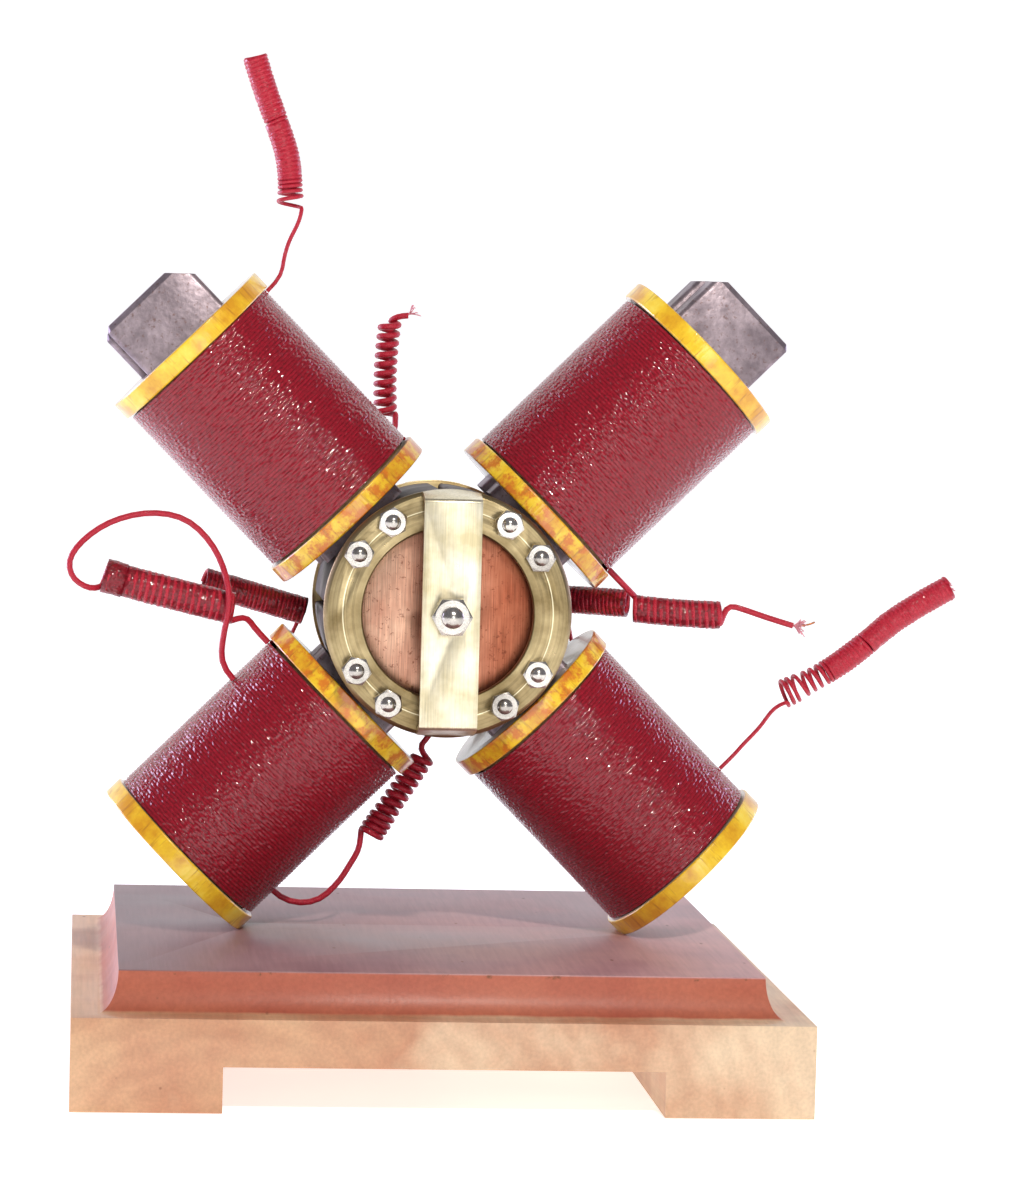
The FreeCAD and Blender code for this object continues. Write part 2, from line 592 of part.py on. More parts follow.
def build_stator():
    """Rings, studs, nuts, shoes, bridges and pivot screws."""
    ring = clamp_ring()
    export("front_ring", on_shaft(ring))
    export("rear_ring", on_shaft(flipped_to_rear(ring)))
    strap = bridge_strap()
    export("front_bridge", on_shaft(strap))
    export("rear_bridge", on_shaft(flipped_to_rear(strap)))
    screw = pivot_screw()
    export("front_pivot_screw", on_shaft(screw))
    export("rear_pivot_screw", on_shaft(flipped_to_rear(screw)))
    nut = hex_nut(PIVOT_NUT_ACROSS, PIVOT_NUT_THICKNESS, PIVOT_RADIUS + RUNNING_CLEARANCE)
    nut.translate(Vector(0, -BRIDGE_OUTER_Y, 0))
    export("front_lock_nut", on_shaft(nut))
    export("rear_lock_nut", on_shaft(flipped_to_rear(nut)))

    stud_end = RING_FRONT_Y + STUD_NUT_THICKNESS + STUD_PROUD
    stud = domed_rod(STUD_RADIUS, -stud_end, stud_end, STUD_PROUD * 0.75)
    small_nut = hex_nut(STUD_NUT_ACROSS, STUD_NUT_THICKNESS, STUD_RADIUS + RUNNING_CLEARANCE)
    studs = []
    front_nuts = []
    rear_nuts = []
    for number, (x, z) in enumerate(stud_positions()):
        studs.append(stud.translated(Vector(x, 0, z)))
        spun = moved(small_nut, Placement(Vector(0, 0, 0), Rotation(BACKWARD, 17.0 * number)))
        front_nuts.append(spun.translated(Vector(x, -RING_FRONT_Y, z)))
        rear_nuts.append(flipped_to_rear(spun).translated(Vector(x, RING_FRONT_Y, z)))
    export("clamp_studs", on_shaft(Part.makeCompound(studs)))
    export("front_nuts", on_shaft(Part.makeCompound(front_nuts)))
    export("rear_nuts", on_shaft(Part.makeCompound(rear_nuts)))


def build_rotor():
    """Copper drum and end discs on an iron core, on their shaft."""
    half = ROTOR_HALF_LENGTH
    inside = half - END_DISC_THICKNESS
    bore = SHAFT_RADIUS + 0.02
    export("rotor_drum", on_shaft(tube(ROTOR_RADIUS, ROTOR_RADIUS - DRUM_WALL, -inside, inside)))
    export("rotor_front_disc", on_shaft(tube(ROTOR_RADIUS, bore, -half, -inside)))
    export("rotor_rear_disc", on_shaft(tube(ROTOR_RADIUS, bore, inside, half)))
    core_radius = ROTOR_RADIUS - DRUM_WALL - HOLE_CLEARANCE
    export("rotor_core", on_shaft(tube(core_radius, bore, -inside, inside)))
    export("rotor_shaft", on_shaft(rotor_shaft()))


def build_poles():
    """Shoe, core, flanges, former and winding of each pole."""
    lower_flanges = {}
    for pole in POLE_ANGLES:
        export(pole + "_pole_shoe", in_pole(pole_shoe(), pole))
        export(pole + "_core", in_pole(core_bars(pole), pole))
        inner = flange(pole, COIL_START, WINDING_START - FORMER_LET_IN)
        outer = in_pole(flange(pole, WINDING_END, WINDING_END), pole)
        export(pole + "_inner_flange", in_pole(inner, pole))
        if pole.startswith("lower"):
            lower_flanges[pole] = outer
            outer = outer.cut(fixing_screw(pole, RUNNING_CLEARANCE))
        export(pole + "_outer_flange", outer)
        export(pole + "_former", in_pole(former_tube(), pole))
        export(pole + "_winding", in_pole(winding(), pole))
    return lower_flanges


def main():
    """Build every piece of the motor."""
    build_stator()
    build_rotor()
    lower_flanges = build_poles()
    export("base", base_board(lower_flanges))
    export("fixing_screws", Part.makeCompound([fixing_screw(pole, 0.0) for pole in lower_flanges]))
    build_leads()


main()
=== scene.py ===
"""Visual model of a demonstration electric motor: four crimson coils in an X on a beech base.

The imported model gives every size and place. Each sub-assembly is a dataclass with a build() method,
and main() builds them in order, with one set of finishes.
Lengths are metres unless a name ends in _mm. A pole's own frame has `along` away from the shaft,
`across` at right angles to it in the X, and `depth` towards the back.
"""

import json
import logging
import math
from dataclasses import dataclass, field
from enum import Enum
from functools import partial

import bmesh
import bpy
from bpy.types import Material, Node, NodeSocket, NodeTree, Object
from mathutils import Matrix, Vector, noise


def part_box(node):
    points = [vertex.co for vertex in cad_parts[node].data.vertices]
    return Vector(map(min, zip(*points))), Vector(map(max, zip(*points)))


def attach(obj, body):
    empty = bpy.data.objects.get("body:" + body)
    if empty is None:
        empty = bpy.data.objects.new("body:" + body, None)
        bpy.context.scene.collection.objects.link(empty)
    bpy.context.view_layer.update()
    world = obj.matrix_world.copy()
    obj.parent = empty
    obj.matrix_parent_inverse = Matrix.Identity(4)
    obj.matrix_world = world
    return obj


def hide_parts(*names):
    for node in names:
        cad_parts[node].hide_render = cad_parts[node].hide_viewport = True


Triple = tuple[float, float, float]
Source = float | str | tuple | Node | NodeSocket

log = logging.getLogger("motor")
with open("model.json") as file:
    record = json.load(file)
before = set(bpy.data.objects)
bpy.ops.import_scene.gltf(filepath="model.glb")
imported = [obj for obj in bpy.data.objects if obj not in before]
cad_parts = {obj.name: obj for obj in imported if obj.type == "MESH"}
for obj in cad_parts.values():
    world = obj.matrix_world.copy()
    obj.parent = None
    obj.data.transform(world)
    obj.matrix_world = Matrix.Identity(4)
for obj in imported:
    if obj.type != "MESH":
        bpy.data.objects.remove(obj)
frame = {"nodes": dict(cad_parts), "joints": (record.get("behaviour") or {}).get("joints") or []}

MM = 0.001
TURN = 2.0 * math.pi
GOLDEN_ANGLE = 2.4
SHARP_EDGE = math.radians(32.0)
MERGE_MM = 0.002
STATOR = "stator"
ROTOR = "rotor"
SHAFT = Vector(frame["joints"][0]["pos_m"])


class Pole(Enum):
    """The four poles, by the angle of each from +X towards +Z in degrees."""

    UPPER_RIGHT = 45.0
    UPPER_LEFT = 135.0
    LOWER_LEFT = 225.0
    LOWER_RIGHT = 315.0

    @property
    def node(self) -> str:
        """Start of the names of this pole's nodes."""
        return self.name.lower()

    @property
    def along(self) -> Vector:
        """Direction away from the shaft."""
        angle = math.radians(self.value)
        return Vector((math.cos(angle), 0.0, math.sin(angle)))

    @property
    def across(self) -> Vector:
        """Direction at right angles to the pole, in the plane of the X."""
        angle = math.radians(self.value)
        return Vector((-math.sin(angle), 0.0, math.cos(angle)))

    def matrix(self) -> Matrix:
        """Placement that takes (along, depth, across) to the row frame, without a mirror."""
        turn = Matrix.Rotation(-math.radians(self.value), 4, "Y")
        return Matrix.Translation(SHAFT) @ turn

    def point(self, along_mm: float, across_mm: float, depth_mm: float) -> Vector:
        """A point in the row frame, in metres, from the pole's own frame in millimetres."""
        flat = self.along * along_mm + self.across * across_mm + Vector((0.0, depth_mm, 0.0))
        return SHAFT + flat * MM

    def local(self, point: Vector) -> Vector:
        """(along, across, depth) of a point in the row frame, in metres."""
        offset = point - SHAFT
        return Vector((offset.dot(self.along), offset.dot(self.across), offset.y))


def mm(*values: float) -> Vector:
    """A vector in metres from millimetres."""
    return Vector(values) * MM


def linear(code: str) -> tuple[float, float, float, float]:
    """Turns an sRGB hex colour into linear RGBA.

    Args:
        code: Six hex digits, with or without a leading #.

    Returns:
        Linear red, green and blue, and an alpha of 1.
    """
    digits = code.lstrip("#")
    channels = []
    for start in (0, 2, 4):
        value = int(digits[start:start + 2], 16) / 255.0
        channels.append(value / 12.92 if value <= 0.04045 else ((value + 0.055) / 1.055) ** 2.4)
    return (channels[0], channels[1], channels[2], 1.0)


def feed(socket: NodeSocket, source: Source) -> None:
    """Feeds an input with a value, a hex colour, an output or a node's first output.

    Args:
        socket: Input of a node.
        source: What feeds it.
    """
    if isinstance(source, Node):
        source = source.outputs[0]
    if isinstance(source, NodeSocket):
        socket.id_data.links.new(source, socket)
    else:
        socket.default_value = linear(source) if isinstance(source, str) else source


def add_node(tree: NodeTree, kind: str, links: dict[str | int, Source] | None = None,
             stops: list[tuple[float, str]] | None = None, **settings: object) -> Node:
    """Adds a shader node with its settings and links.

    Args:
        tree: Node tree of a material.
        kind: Type of the node after its ShaderNode prefix, such as TexNoise.
        links: What feeds each input, by its name or number.
        stops: Places and hex colours of a colour ramp.
        settings: Attributes of the node.

    Returns:
        The new node.
    """
    made = tree.nodes.new(f"ShaderNode{kind}")
    for name, value in settings.items():
        setattr(made, name, value)
    if stops:
        ramp = made.color_ramp
        while len(ramp.elements) < len(stops):
            ramp.elements.new(0.5)
        for element, (place, code) in zip(ramp.elements, stops):
            element.position = place
            element.color = linear(code)
    for key, source in (links or {}).items():
        feed(made.inputs[key], source)
    return made


def new_material(name: str) -> tuple[Material, NodeTree, Node]:
    """Makes a node material and returns it with its tree and its shader.

    Args:
        name: Common name of the real finish.

    Returns:
        The material, its node tree and its shader.
    """
    material = bpy.data.materials.new(name)
    material.use_nodes = True
    return material, material.node_tree, material.node_tree.nodes["Principled BSDF"]


def set_inputs(node: Node, **sources: Source) -> None:
    """Feeds a node's inputs; an underscore in a name stands for a space."""
    for key, source in sources.items():
        feed(node.inputs[key.replace("_", " ")], source)


def mix_colours(tree: NodeTree, factor: Source, first: Source, second: Source,
                blend: str = "MIX") -> NodeSocket:
    """Mixes two colours.

    Args:
        tree: Node tree of a material.
        factor: Share of the second.
        first: Colour beneath.
        second: Colour over it.
        blend: How the second is laid over the first.

    Returns:
        The result's socket.
    """
    mixer = add_node(tree, "Mix", {0: factor, 6: first, 7: second}, data_type="RGBA",
                     blend_type=blend)
    return mixer.outputs[2]


def bump(tree: NodeTree, shader: Node, height: Source, depth_mm: float,
         inputs: tuple[str, ...] = ("Normal", "Coat Normal"), smooth: Source | None = None) -> None:
    """Drives the shader's normal, and its coat's, by a height that runs from 0 to 1.

    Args:
        tree: Node tree of a material.
        shader: Its shader.
        height: What gives the height.
        depth_mm: Height in millimetres at 1.
        inputs: The shader's sockets to drive.
        smooth: Normal to start from, or None for the surface's own.
    """
    made = add_node(tree, "Bump", {"Height": height, "Distance": depth_mm * MM, "Strength": 1.0})
    if smooth:
        set_inputs(made, Normal=smooth)
    set_inputs(shader, **dict.fromkeys(inputs, made))


def per_mm(size_mm: float) -> float:
    """Noise scale on metre coordinates for features about this many millimetres apart."""
    return 1.0 / (size_mm * MM)


@dataclass(frozen=True)
class Beech:
    """Planed and oiled beech: cream to orange, with growth rings, short dark flecks and soft gloss;
    painted shade on the cove and towards the top's left, and a painted pinkish-grey reflection on the
    top.
    """

    left: str = "#D3A983"
    middle: str = "#BF8A6A"
    right: str = "#DFC4A3"
    # Painted shade: the cove colours paint the cove band darker and redder than the front.
    cove: str = "#A9553F"
    cove_painted_shade_pale: str = "#BC6C50"
    # Painted reflection and shade: the top colours are pinkish-grey and darker than the front.
    top: str = "#A97E82"
    top_pale: str = "#C59A97"
    fleck: str = "#7E4A36"
    fleck_mm: float = 1.1
    chip: str = "#7A4A2E"
    chip_mm: float = 0.7
    grain_mm: float = 7.0
    pith_mm: Triple = (-62.0, 0.0, -34.0)

    def make(self) -> Material:
        """Builds the material of the base.

        Returns:
            The material.
        """
        material, tree, shader = new_material("oiled_beech")
        add = partial(add_node, tree)
        place = add("TexCoord").outputs["Object"]
        axes = add("SeparateXYZ", {0: place})
        warp = add("TexNoise", {
            "Vector": place, "Scale": per_mm(30.0), "Detail": 4.0, "Roughness": 0.55})
        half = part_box("base")[1].x
        shift = add("MapRange", {0: axes.outputs["X"], 1: -half, 2: half, 3: -0.22, 4: 0.3})
        blotch = add("Math", {0: warp, 1: shift}, operation="ADD")
        body = add("ValToRGB", {0: blotch},
                   stops=[(0.2, self.left), (0.5, self.middle), (0.86, self.right)])
        centred = add("Mapping", {
            "Vector": place, "Location": tuple(-value * MM for value in self.pith_mm),
            "Scale": (1.0, 0.06, 1.0)})
        rings = add("TexWave", {
            "Vector": centred, "Scale": 0.314 / (self.grain_mm * MM), "Distortion": 7.0,
            "Detail": 4.0, "Detail Scale": 1.3}, wave_type="RINGS", rings_direction="Y")
        faint = add("MapRange", {0: rings.outputs["Fac"], 3: 0.95, 4: 1.03})
        body = mix_colours(tree, 1.0, body, faint, "MULTIPLY")
        cloud = add("TexNoise", {"Vector": place, "Scale": per_mm(38.0), "Detail": 4.0})

        height = axes.outputs["Z"]
        ripple = add("TexNoise", {"Vector": place, "Scale": per_mm(9.0)})
        wander = add("Math", {0: ripple, 1: 0.7 * MM, 2: height}, operation="MULTIPLY_ADD")
        ledge = frame_height("ledge")
        plateau = frame_height("plateau")
        # Painted shade: above the ledge the cove band is painted darker and redder, in random paler
        # patches.
        on_cove = add("MapRange", {0: wander, 1: ledge + 0.45 * MM, 2: ledge + 1.1 * MM})
        on_top = add("MapRange", {0: height, 1: plateau - 0.5 * MM, 2: plateau - 0.1 * MM})
        stain = add("ValToRGB", {0: warp}, stops=[(0.3, self.cove), (0.75, self.cove_painted_shade_pale)])
        body = mix_colours(tree, on_cove, body, stain)
        # Painted reflection: the top is painted pinkish-grey, a bluish surround mirrored in the oil,
        # with random paler patches.
        top_painted_reflection = add("ValToRGB", {0: cloud}, stops=[(0.34, self.top), (0.6, self.top_pale)])
        # Painted shade: the top is painted darker towards the left and a little lighter towards the
        # right.
        painted_shade_left = add("MapRange", {
            0: axes.outputs["X"], 1: -0.9 * half, 2: 0.9 * half, 3: 0.42, 4: 1.12})
        top_painted_reflection = mix_colours(tree, 1.0, top_painted_reflection, painted_shade_left, "MULTIPLY")
        body = mix_colours(tree, on_top, body, top_painted_reflection)

        chip = self.chip_mm * MM
        below = add("Math", {0: height, 1: plateau - chip}, operation="SUBTRACT")
        near = add("Math", {0: below}, operation="ABSOLUTE")
        edge = add("MapRange", {0: near, 1: 0.3 * chip, 2: chip, 3: 1.0, 4: 0.0})
        torn = add("TexNoise", {
            "Vector": place, "Scale": per_mm(7.0), "Detail": 6.0, "Roughness": 0.75})
        chips = add("MapRange", {0: torn, 1: 0.56, 2: 0.62})
        chips = add("Math", {0: chips, 1: edge}, operation="MULTIPLY")
        body = mix_colours(tree, chips, body, self.chip)

        short = add("Mapping", {"Vector": place, "Scale": (1.0, 0.35, 1.0)})
        pores = add("TexVoronoi", {
            "Vector": short, "Scale": per_mm(self.fleck_mm * 9.0), "Randomness": 1.0})
        dots = add("MapRange", {0: pores.outputs["Distance"], 1: 0.035, 2: 0.065, 3: 0.75, 4: 0.0})
        body = mix_colours(tree, dots, body, self.fleck)
        long = add("Mapping", {"Vector": place, "Scale": (1.0, 0.05, 1.0)})
        fibre = add("TexNoise", {"Vector": long, "Scale": per_mm(1.0), "Detail": 2.0})
        streaks = add("MapRange", {0: fibre, 1: 0.3, 2: 0.7, 3: 0.9, 4: 1.05})
        body = mix_colours(tree, 1.0, body, streaks, "MULTIPLY")
        rough = add("MapRange", {0: cloud, 1: 0.3, 2: 0.7, 3: 0.38, 4: 0.55})
        set_inputs(shader, Base_Color=body, Roughness=rough, IOR=1.45, Coat_Weight=0.12,
                   Coat_Roughness=0.3)
        bump(tree, shader, fibre, 0.05)
        return material


def frame_height(name: str) -> float:
    """Height of the base's ledge or plateau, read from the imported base's own vertices.

    Args:
        name: ledge or plateau.

    Returns:
        The height in metres.
    """
    low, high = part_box("base")
    if name == "plateau":
        return high.z
    heights = sorted({round(v.co.z, 5) for v in frame["nodes"]["base"].data.vertices
                      if abs(v.co.x - low.x) < MM})
    return heights[-1]


@dataclass(frozen=True)
class VarnishedFlange:
    """Turned whitewood under yellow spirit varnish: glossy, blotched, with brown lines on the rim."""

    light: str = "#EFC624"
    deep: str = "#D3950F"
    pale: str = "#F6E25E"
    blotch: str = "#9C5214"
    bare: str = "#D9CBB4"
    stain: str = "#CF6A12"
    stained_to_mm: float = 50.0
    clean_from_mm: float = 60.0
    line_mm: float = 1.1
    rim_mm: float = 27.2

    def make(self) -> Material:
        """Builds the material of the coil flanges, which reads their pole_place attribute.

        Returns:
            The material.
        """
        material, tree, shader = new_material("yellow_varnished_whitewood")
        add = partial(add_node, tree)
        place = add("Attribute", attribute_name="pole_place").outputs["Vector"]
        broad = add("TexNoise", {
            "Vector": place, "Scale": per_mm(9.0), "Detail": 5.0, "Roughness": 0.6})
        base = add("ValToRGB", {0: broad},
                   stops=[(0.36, self.deep), (0.56, self.light), (0.78, self.pale)])
        blot = add("TexNoise", {"Vector": place, "Scale": per_mm(5.0), "Detail": 6.0, "Roughness": 0.7})
        spots = add("MapRange", {0: blot, 1: 0.62, 2: 0.76, 3: 0.0, 4: 0.8})
        colour = mix_colours(tree, spots, base, self.blotch)
        along = add("SeparateXYZ", {0: place}).outputs["X"]
        # Real orange staining on the inner flanges, near the hub.
        hot = add("MapRange", {
            0: along, 1: self.stained_to_mm * MM, 2: self.clean_from_mm * MM, 3: 0.9, 4: 0.0})
        patch = add("MapRange", {0: blot, 1: 0.45, 2: 0.56})
        hot = add("Math", {0: hot, 1: patch}, operation="MULTIPLY")
        colour = mix_colours(tree, hot, colour, self.stain)
        grain_place = add("Mapping", {"Vector": place, "Scale": (0.12, 1.0, 0.5)})
        grain = add("TexNoise", {"Vector": grain_place, "Scale": per_mm(self.line_mm), "Detail": 2.0})
        lines = add("MapRange", {0: grain, 1: 0.6, 2: 0.72, 3: 0.0, 4: 0.55})
        colour = mix_colours(tree, lines, colour, self.blotch)
        off_axis = add("VectorMath", {0: place, 1: (0.0, 1.0, 1.0)}, operation="MULTIPLY")
        radius = add("VectorMath", {0: off_axis}, operation="LENGTH").outputs["Value"]
        on_rim = add("MapRange", {0: radius, 1: (self.rim_mm - 0.5) * MM, 2: self.rim_mm * MM})
        colour = mix_colours(tree, on_rim, self.bare, colour)
        set_inputs(shader, Base_Color=colour, IOR=1.5, Roughness=0.3, Coat_Weight=0.7,
                   Coat_Roughness=0.1)
        bump(tree, shader, grain, 0.12)
        return material


@dataclass(frozen=True)
class CoveredWire:
    """Cotton covered copper wire, dyed crimson and shellacked: fibrous, waxy, with small glints."""

    name: str = "crimson_cotton_covered_wire"
    dye: str = "#B3152E"
    dark: str = "#860C20"
    wax: str = "#C93A4C"
    thread_mm: float = 0.35
    facet_mm: float = 0.35
    glint: float = 0.45
    attribute: str = ""
    depth_mm: float = 0.16
    coat_relief: float = 1.0
    coat_roughness: float = 0.07
    coat_over: str = ""
    evenness: float = 4.0
    level: float = 0.5

    def make(self) -> Material:
        """Builds the wire's material, on Object coordinates or on the attribute that it names.

        Returns:
            The material.
        """
        material, tree, shader = new_material(self.name)
        add = partial(add_node, tree)
        place = add("TexCoord").outputs["Object"]
        if self.attribute:
            place = add("Attribute", attribute_name=self.attribute).outputs["Vector"]
        broad = add("TexNoise", {"Vector": place, "Scale": per_mm(5.0), "Detail": 4.0})
        fine = add("TexNoise", {
            "Vector": place, "Scale": per_mm(self.thread_mm), "Detail": 3.0, "Roughness": 0.65})
        base = add("ValToRGB", {0: fine},
                   stops=[(0.28, self.dark), (0.5, self.dye), (0.78, self.wax)])
        worn = add("MapRange", {0: broad, 1: 0.35, 2: 0.7, 3: 0.0, 4: 0.4})
        colour = mix_colours(tree, worn, base, self.dye)
        gloss = add("MapRange", {0: fine, 1: 0.3, 2: 0.7, 3: 0.65, 4: 0.45})
        set_inputs(shader, Base_Color=colour, Roughness=gloss, IOR=1.33,
                   Specular_IOR_Level=self.level, Coat_Weight=self.glint,
                   Coat_Roughness=self.coat_roughness)
        facets = add("TexNoise", {"Vector": place, "Detail": 0.0, "Scale": per_mm(self.facet_mm)})
        bump(tree, shader, facets, self.depth_mm, ("Normal",))
        over = None
        if self.coat_over:
            outward = add("Attribute", attribute_name=self.coat_over).outputs["Vector"]
            true = add("NewGeometry").outputs["Normal"]
            over = add("VectorMath", {
                0: outward, 1: (self.evenness,) * 3, 2: true}, operation="MULTIPLY_ADD")
            over = add("VectorMath", {0: over}, operation="NORMALIZE")
        bump(tree, shader, facets, self.depth_mm * self.coat_relief, ("Coat Normal",), over)
        return material


class Lay(Enum):
    """How the tool marks of a metal run over it."""

    ROUND = "rings about the shaft"
    UPRIGHT = "lines up and down"
    CAST = "no direction"


@dataclass(frozen=True)
class WorkedMetal:
    """Sheet or bar metal with tool marks, patches of tarnish and small pits."""

    name: str
    bright: str
    dull: str
    lay: Lay
    roughness: float = 0.3
    mark_mm: float = 0.5
    patch_mm: float = 14.0
    pit: str = "#5A4A3A"
    pit_share: float = 0.0
    metallic: float = 1.0
    ring_mm: float = 0.0
    # Pale line colour of the scribed circle: a painted highlight.
    scribe_painted_highlight: str = "#FFF6D0"
    mark_depth_mm: float = 0.03
    right_tint: str = ""
    tint_mm: tuple[float, float] = (-18.0, 16.0)
    streak: float = 0.16

    def make(self) -> Material:
        """Builds the metal.

        Returns:
            The material.
        """
        material, tree, shader = new_material(self.name)
        add = partial(add_node, tree)
        place = add("TexCoord").outputs["Object"]
        on_shaft = add("Mapping", {"Vector": place, "Location": tuple(-SHAFT)})
        flat = add("VectorMath", {0: on_shaft, 1: (1.0, 0.0, 1.0)}, operation="MULTIPLY")
        radius = add("VectorMath", {0: flat}, operation="LENGTH").outputs["Value"]
        if self.lay is Lay.ROUND:
            marks = add("TexNoise", {
                "W": radius, "Scale": per_mm(self.mark_mm), "Detail": 2.0}, noise_dimensions="1D")
        else:
            stretch = (1.0, 1.0, 0.03) if self.lay is Lay.UPRIGHT else (1.0, 1.0, 1.0)
            stretched = add("Mapping", {"Vector": on_shaft, "Scale": stretch})
            marks = add("TexNoise", {
                "Vector": stretched, "Scale": per_mm(self.mark_mm), "Detail": 3.0})
        patches = add("TexNoise", {
            "Vector": place, "Scale": per_mm(self.patch_mm), "Detail": 5.0, "Roughness": 0.6})
        colour = add("ValToRGB", {0: patches}, stops=[(0.35, self.dull), (0.65, self.bright)])
        streak = add("MapRange", {
            0: marks, 1: 0.3, 2: 0.7, 3: 1.0 - self.streak, 4: 1.0 + 0.5 * self.streak})
        colour = mix_colours(tree, 1.0, colour, streak, "MULTIPLY")
        if self.right_tint:
            sideways = add("SeparateXYZ", {0: on_shaft}).outputs["X"]
            start, end = self.tint_mm
            on_right = add("MapRange", {0: sideways, 1: start * MM, 2: end * MM})
            darker = mix_colours(tree, 1.0, colour, self.right_tint, "MULTIPLY")
            colour = mix_colours(tree, on_right, colour, darker)
        # A real scribed circle at ring_mm, drawn as a pale line whose brightness is a painted
        # highlight.
        if self.ring_mm:
            off = add("Math", {0: radius, 1: self.ring_mm * MM}, operation="SUBTRACT")
            near = add("Math", {0: off}, operation="ABSOLUTE")
            line = add("MapRange", {0: near, 1: 0.08 * MM, 2: 0.2 * MM, 3: 0.7, 4: 0.0})
            colour = mix_colours(tree, line, colour, self.scribe_painted_highlight)
        if self.pit_share:
            pits = add("TexNoise", {
                "Vector": place, "Scale": per_mm(1.3), "Detail": 4.0, "Roughness": 0.7})
            where = add("MapRange", {
                0: pits, 1: 0.72 - self.pit_share, 2: 0.8 - self.pit_share, 3: 0.0, 4: 0.7})
            colour = mix_colours(tree, where, colour, self.pit)
        rough = add("MapRange", {
            0: patches, 1: 0.3, 2: 0.7, 3: self.roughness + 0.1, 4: self.roughness - 0.04})
        set_inputs(shader, Base_Color=colour, Roughness=rough, Metallic=self.metallic)
        bump(tree, shader, marks, self.mark_depth_mm)
        return material


@dataclass(frozen=True)
class PlainCard:
    """Rolled brown card of the formers: matt, with soft fibre mottling."""

    dark: str = "#8A6B47"
    pale: str = "#B08D63"

    def make(self) -> Material:
        """Builds the card.

        Returns:
            The material.
        """
        material, tree, shader = new_material("rolled_brown_card")
        add = partial(add_node, tree)
        place = add("TexCoord").outputs["Object"]
        fibre = add("TexNoise", {"Vector": place, "Scale": per_mm(1.5), "Detail": 4.0})
        colour = add("ValToRGB", {0: fibre}, stops=[(0.3, self.dark), (0.7, self.pale)])
        set_inputs(shader, Base_Color=colour, Roughness=0.85)
        return material


class Slot(Enum):
    """Material slots of the record, by the kinds of piece made here."""

    WOOD = "base_wood"
    FLANGE = "flange_wood"
    BRASS = "brass"
    CORE = "core_steel"
    COPPER = "copper"
    WIRE = "covered_wire"


@dataclass
class Finishes:
    """Every material, made once."""

    made: dict[str, Material] = field(default_factory=dict)

    def build(self) -> None:
        """Makes all materials."""
        brass = WorkedMetal("filed_brass_ring", "#B7A57C", "#82704C", Lay.ROUND, mark_mm=0.8,
                            ring_mm=29.6)
        strap = WorkedMetal("drawn_brass_strap", "#F4EDD4", "#D2C59C", Lay.UPRIGHT, mark_mm=0.4)
        bright = WorkedMetal("turned_bright_steel", "#D9D4CB", "#A8A29A", Lay.CAST, 0.18, 0.6)
        bar = WorkedMetal("hot_rolled_steel_bar", "#A99AA0", "#776B71", Lay.CAST, 0.42, 1.6,
                          patch_mm=9.0, pit="#6E5148", pit_share=0.14, metallic=0.75,
                          mark_depth_mm=0.12)
        iron = WorkedMetal("dark_soft_iron", "#5E5450", "#37302E", Lay.CAST, 0.5, 1.5)
        copper = WorkedMetal("brushed_copper", "#DDB59A", "#C6937A", Lay.UPRIGHT, 0.34, 0.35,
                             pit="#6E3B2C", pit_share=0.14, right_tint="#CF9E8C", streak=0.34)
        strand = WorkedMetal("bare_copper_strand", "#C77E4E", "#8A5330", Lay.CAST, 0.3, 0.3)
        wound = CoveredWire("shellacked_crimson_winding", "#8C0A1E", "#5C0614", "#A5142C", 0.6, 0.9,
                            1.0, "turn_place", 0.2, coat_relief=2.4, coat_roughness=0.09,
                            coat_over="outward", level=0.05)
        aged = CoveredWire("darkened_shellac_over_cotton", "#7A0819", "#4A0410", "#96162A", 0.8, 1.0,
                           0.5, depth_mm=0.3)
        cotton = CoveredWire("bare_cotton_fluff", "#DE98A4", "#C2566A", "#EFC6CC", glint=0.0)
        wax = CoveredWire("crimson_shellac_over_cotton", "#A81029", thread_mm=0.8, facet_mm=1.0,
                          glint=0.6, depth_mm=0.2)
        recipes = {
            "beech": Beech(), "flange": VarnishedFlange(), "ring": brass, "strap": strap,
            "steel": bright, "bar": bar, "iron": iron, "copper": copper, "strand": strand,
            "card": PlainCard(), "wire": CoveredWire(), "wound": wound, "aged_wax": aged,
            "cotton": cotton, "wax": wax}
        self.made = {finish: recipe.make() for finish, recipe in recipes.items()}

    def dress(self, piece: Object, finish: str) -> None:
        """Gives a piece one finish all over."""
        piece.data.materials.clear()
        piece.data.materials.append(self.made[finish])

    def settle(self, piece: Object, finish: str, body: str, slot: Slot, *nodes: str) -> None:
        """Dresses a finished piece, puts it on its body and hides the CAD nodes that it replaces.

        Args:
            piece: Finished piece.
            finish: Name of its finish.
            body: Body that it rides on.
            slot: Its material slot; not used.
            nodes: CAD nodes that it replaces.
        """
        self.dress(piece, finish)
        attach(piece, body)
        if nodes:
            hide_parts(*nodes)
        log.info("%s: %d vertices on %s", piece.name, len(getattr(piece.data, "vertices", ())), body)


def deselect_all() -> None:
    """Clears the selection, so that an operator acts on its own piece alone."""
    bpy.ops.object.select_all(action="DESELECT")


def make_active(piece: Object) -> None:
    """Selects one piece alone and makes it active.

    Args:
        piece: Piece to work on.
    """
    deselect_all()
    piece.select_set(True)
    bpy.context.view_layer.objects.active = piece


def edit_all(piece: Object, merge_mm: float) -> None:
    """Opens a piece in edit mode with everything selected, and merges its doubles.

    Args:
        piece: Mesh piece.
        merge_mm: Distance up to which vertices merge.
    """
    make_active(piece)
    bpy.ops.object.mode_set(mode="EDIT")
    bpy.ops.mesh.select_all(action="SELECT")
    bpy.ops.mesh.remove_doubles(threshold=merge_mm * MM)


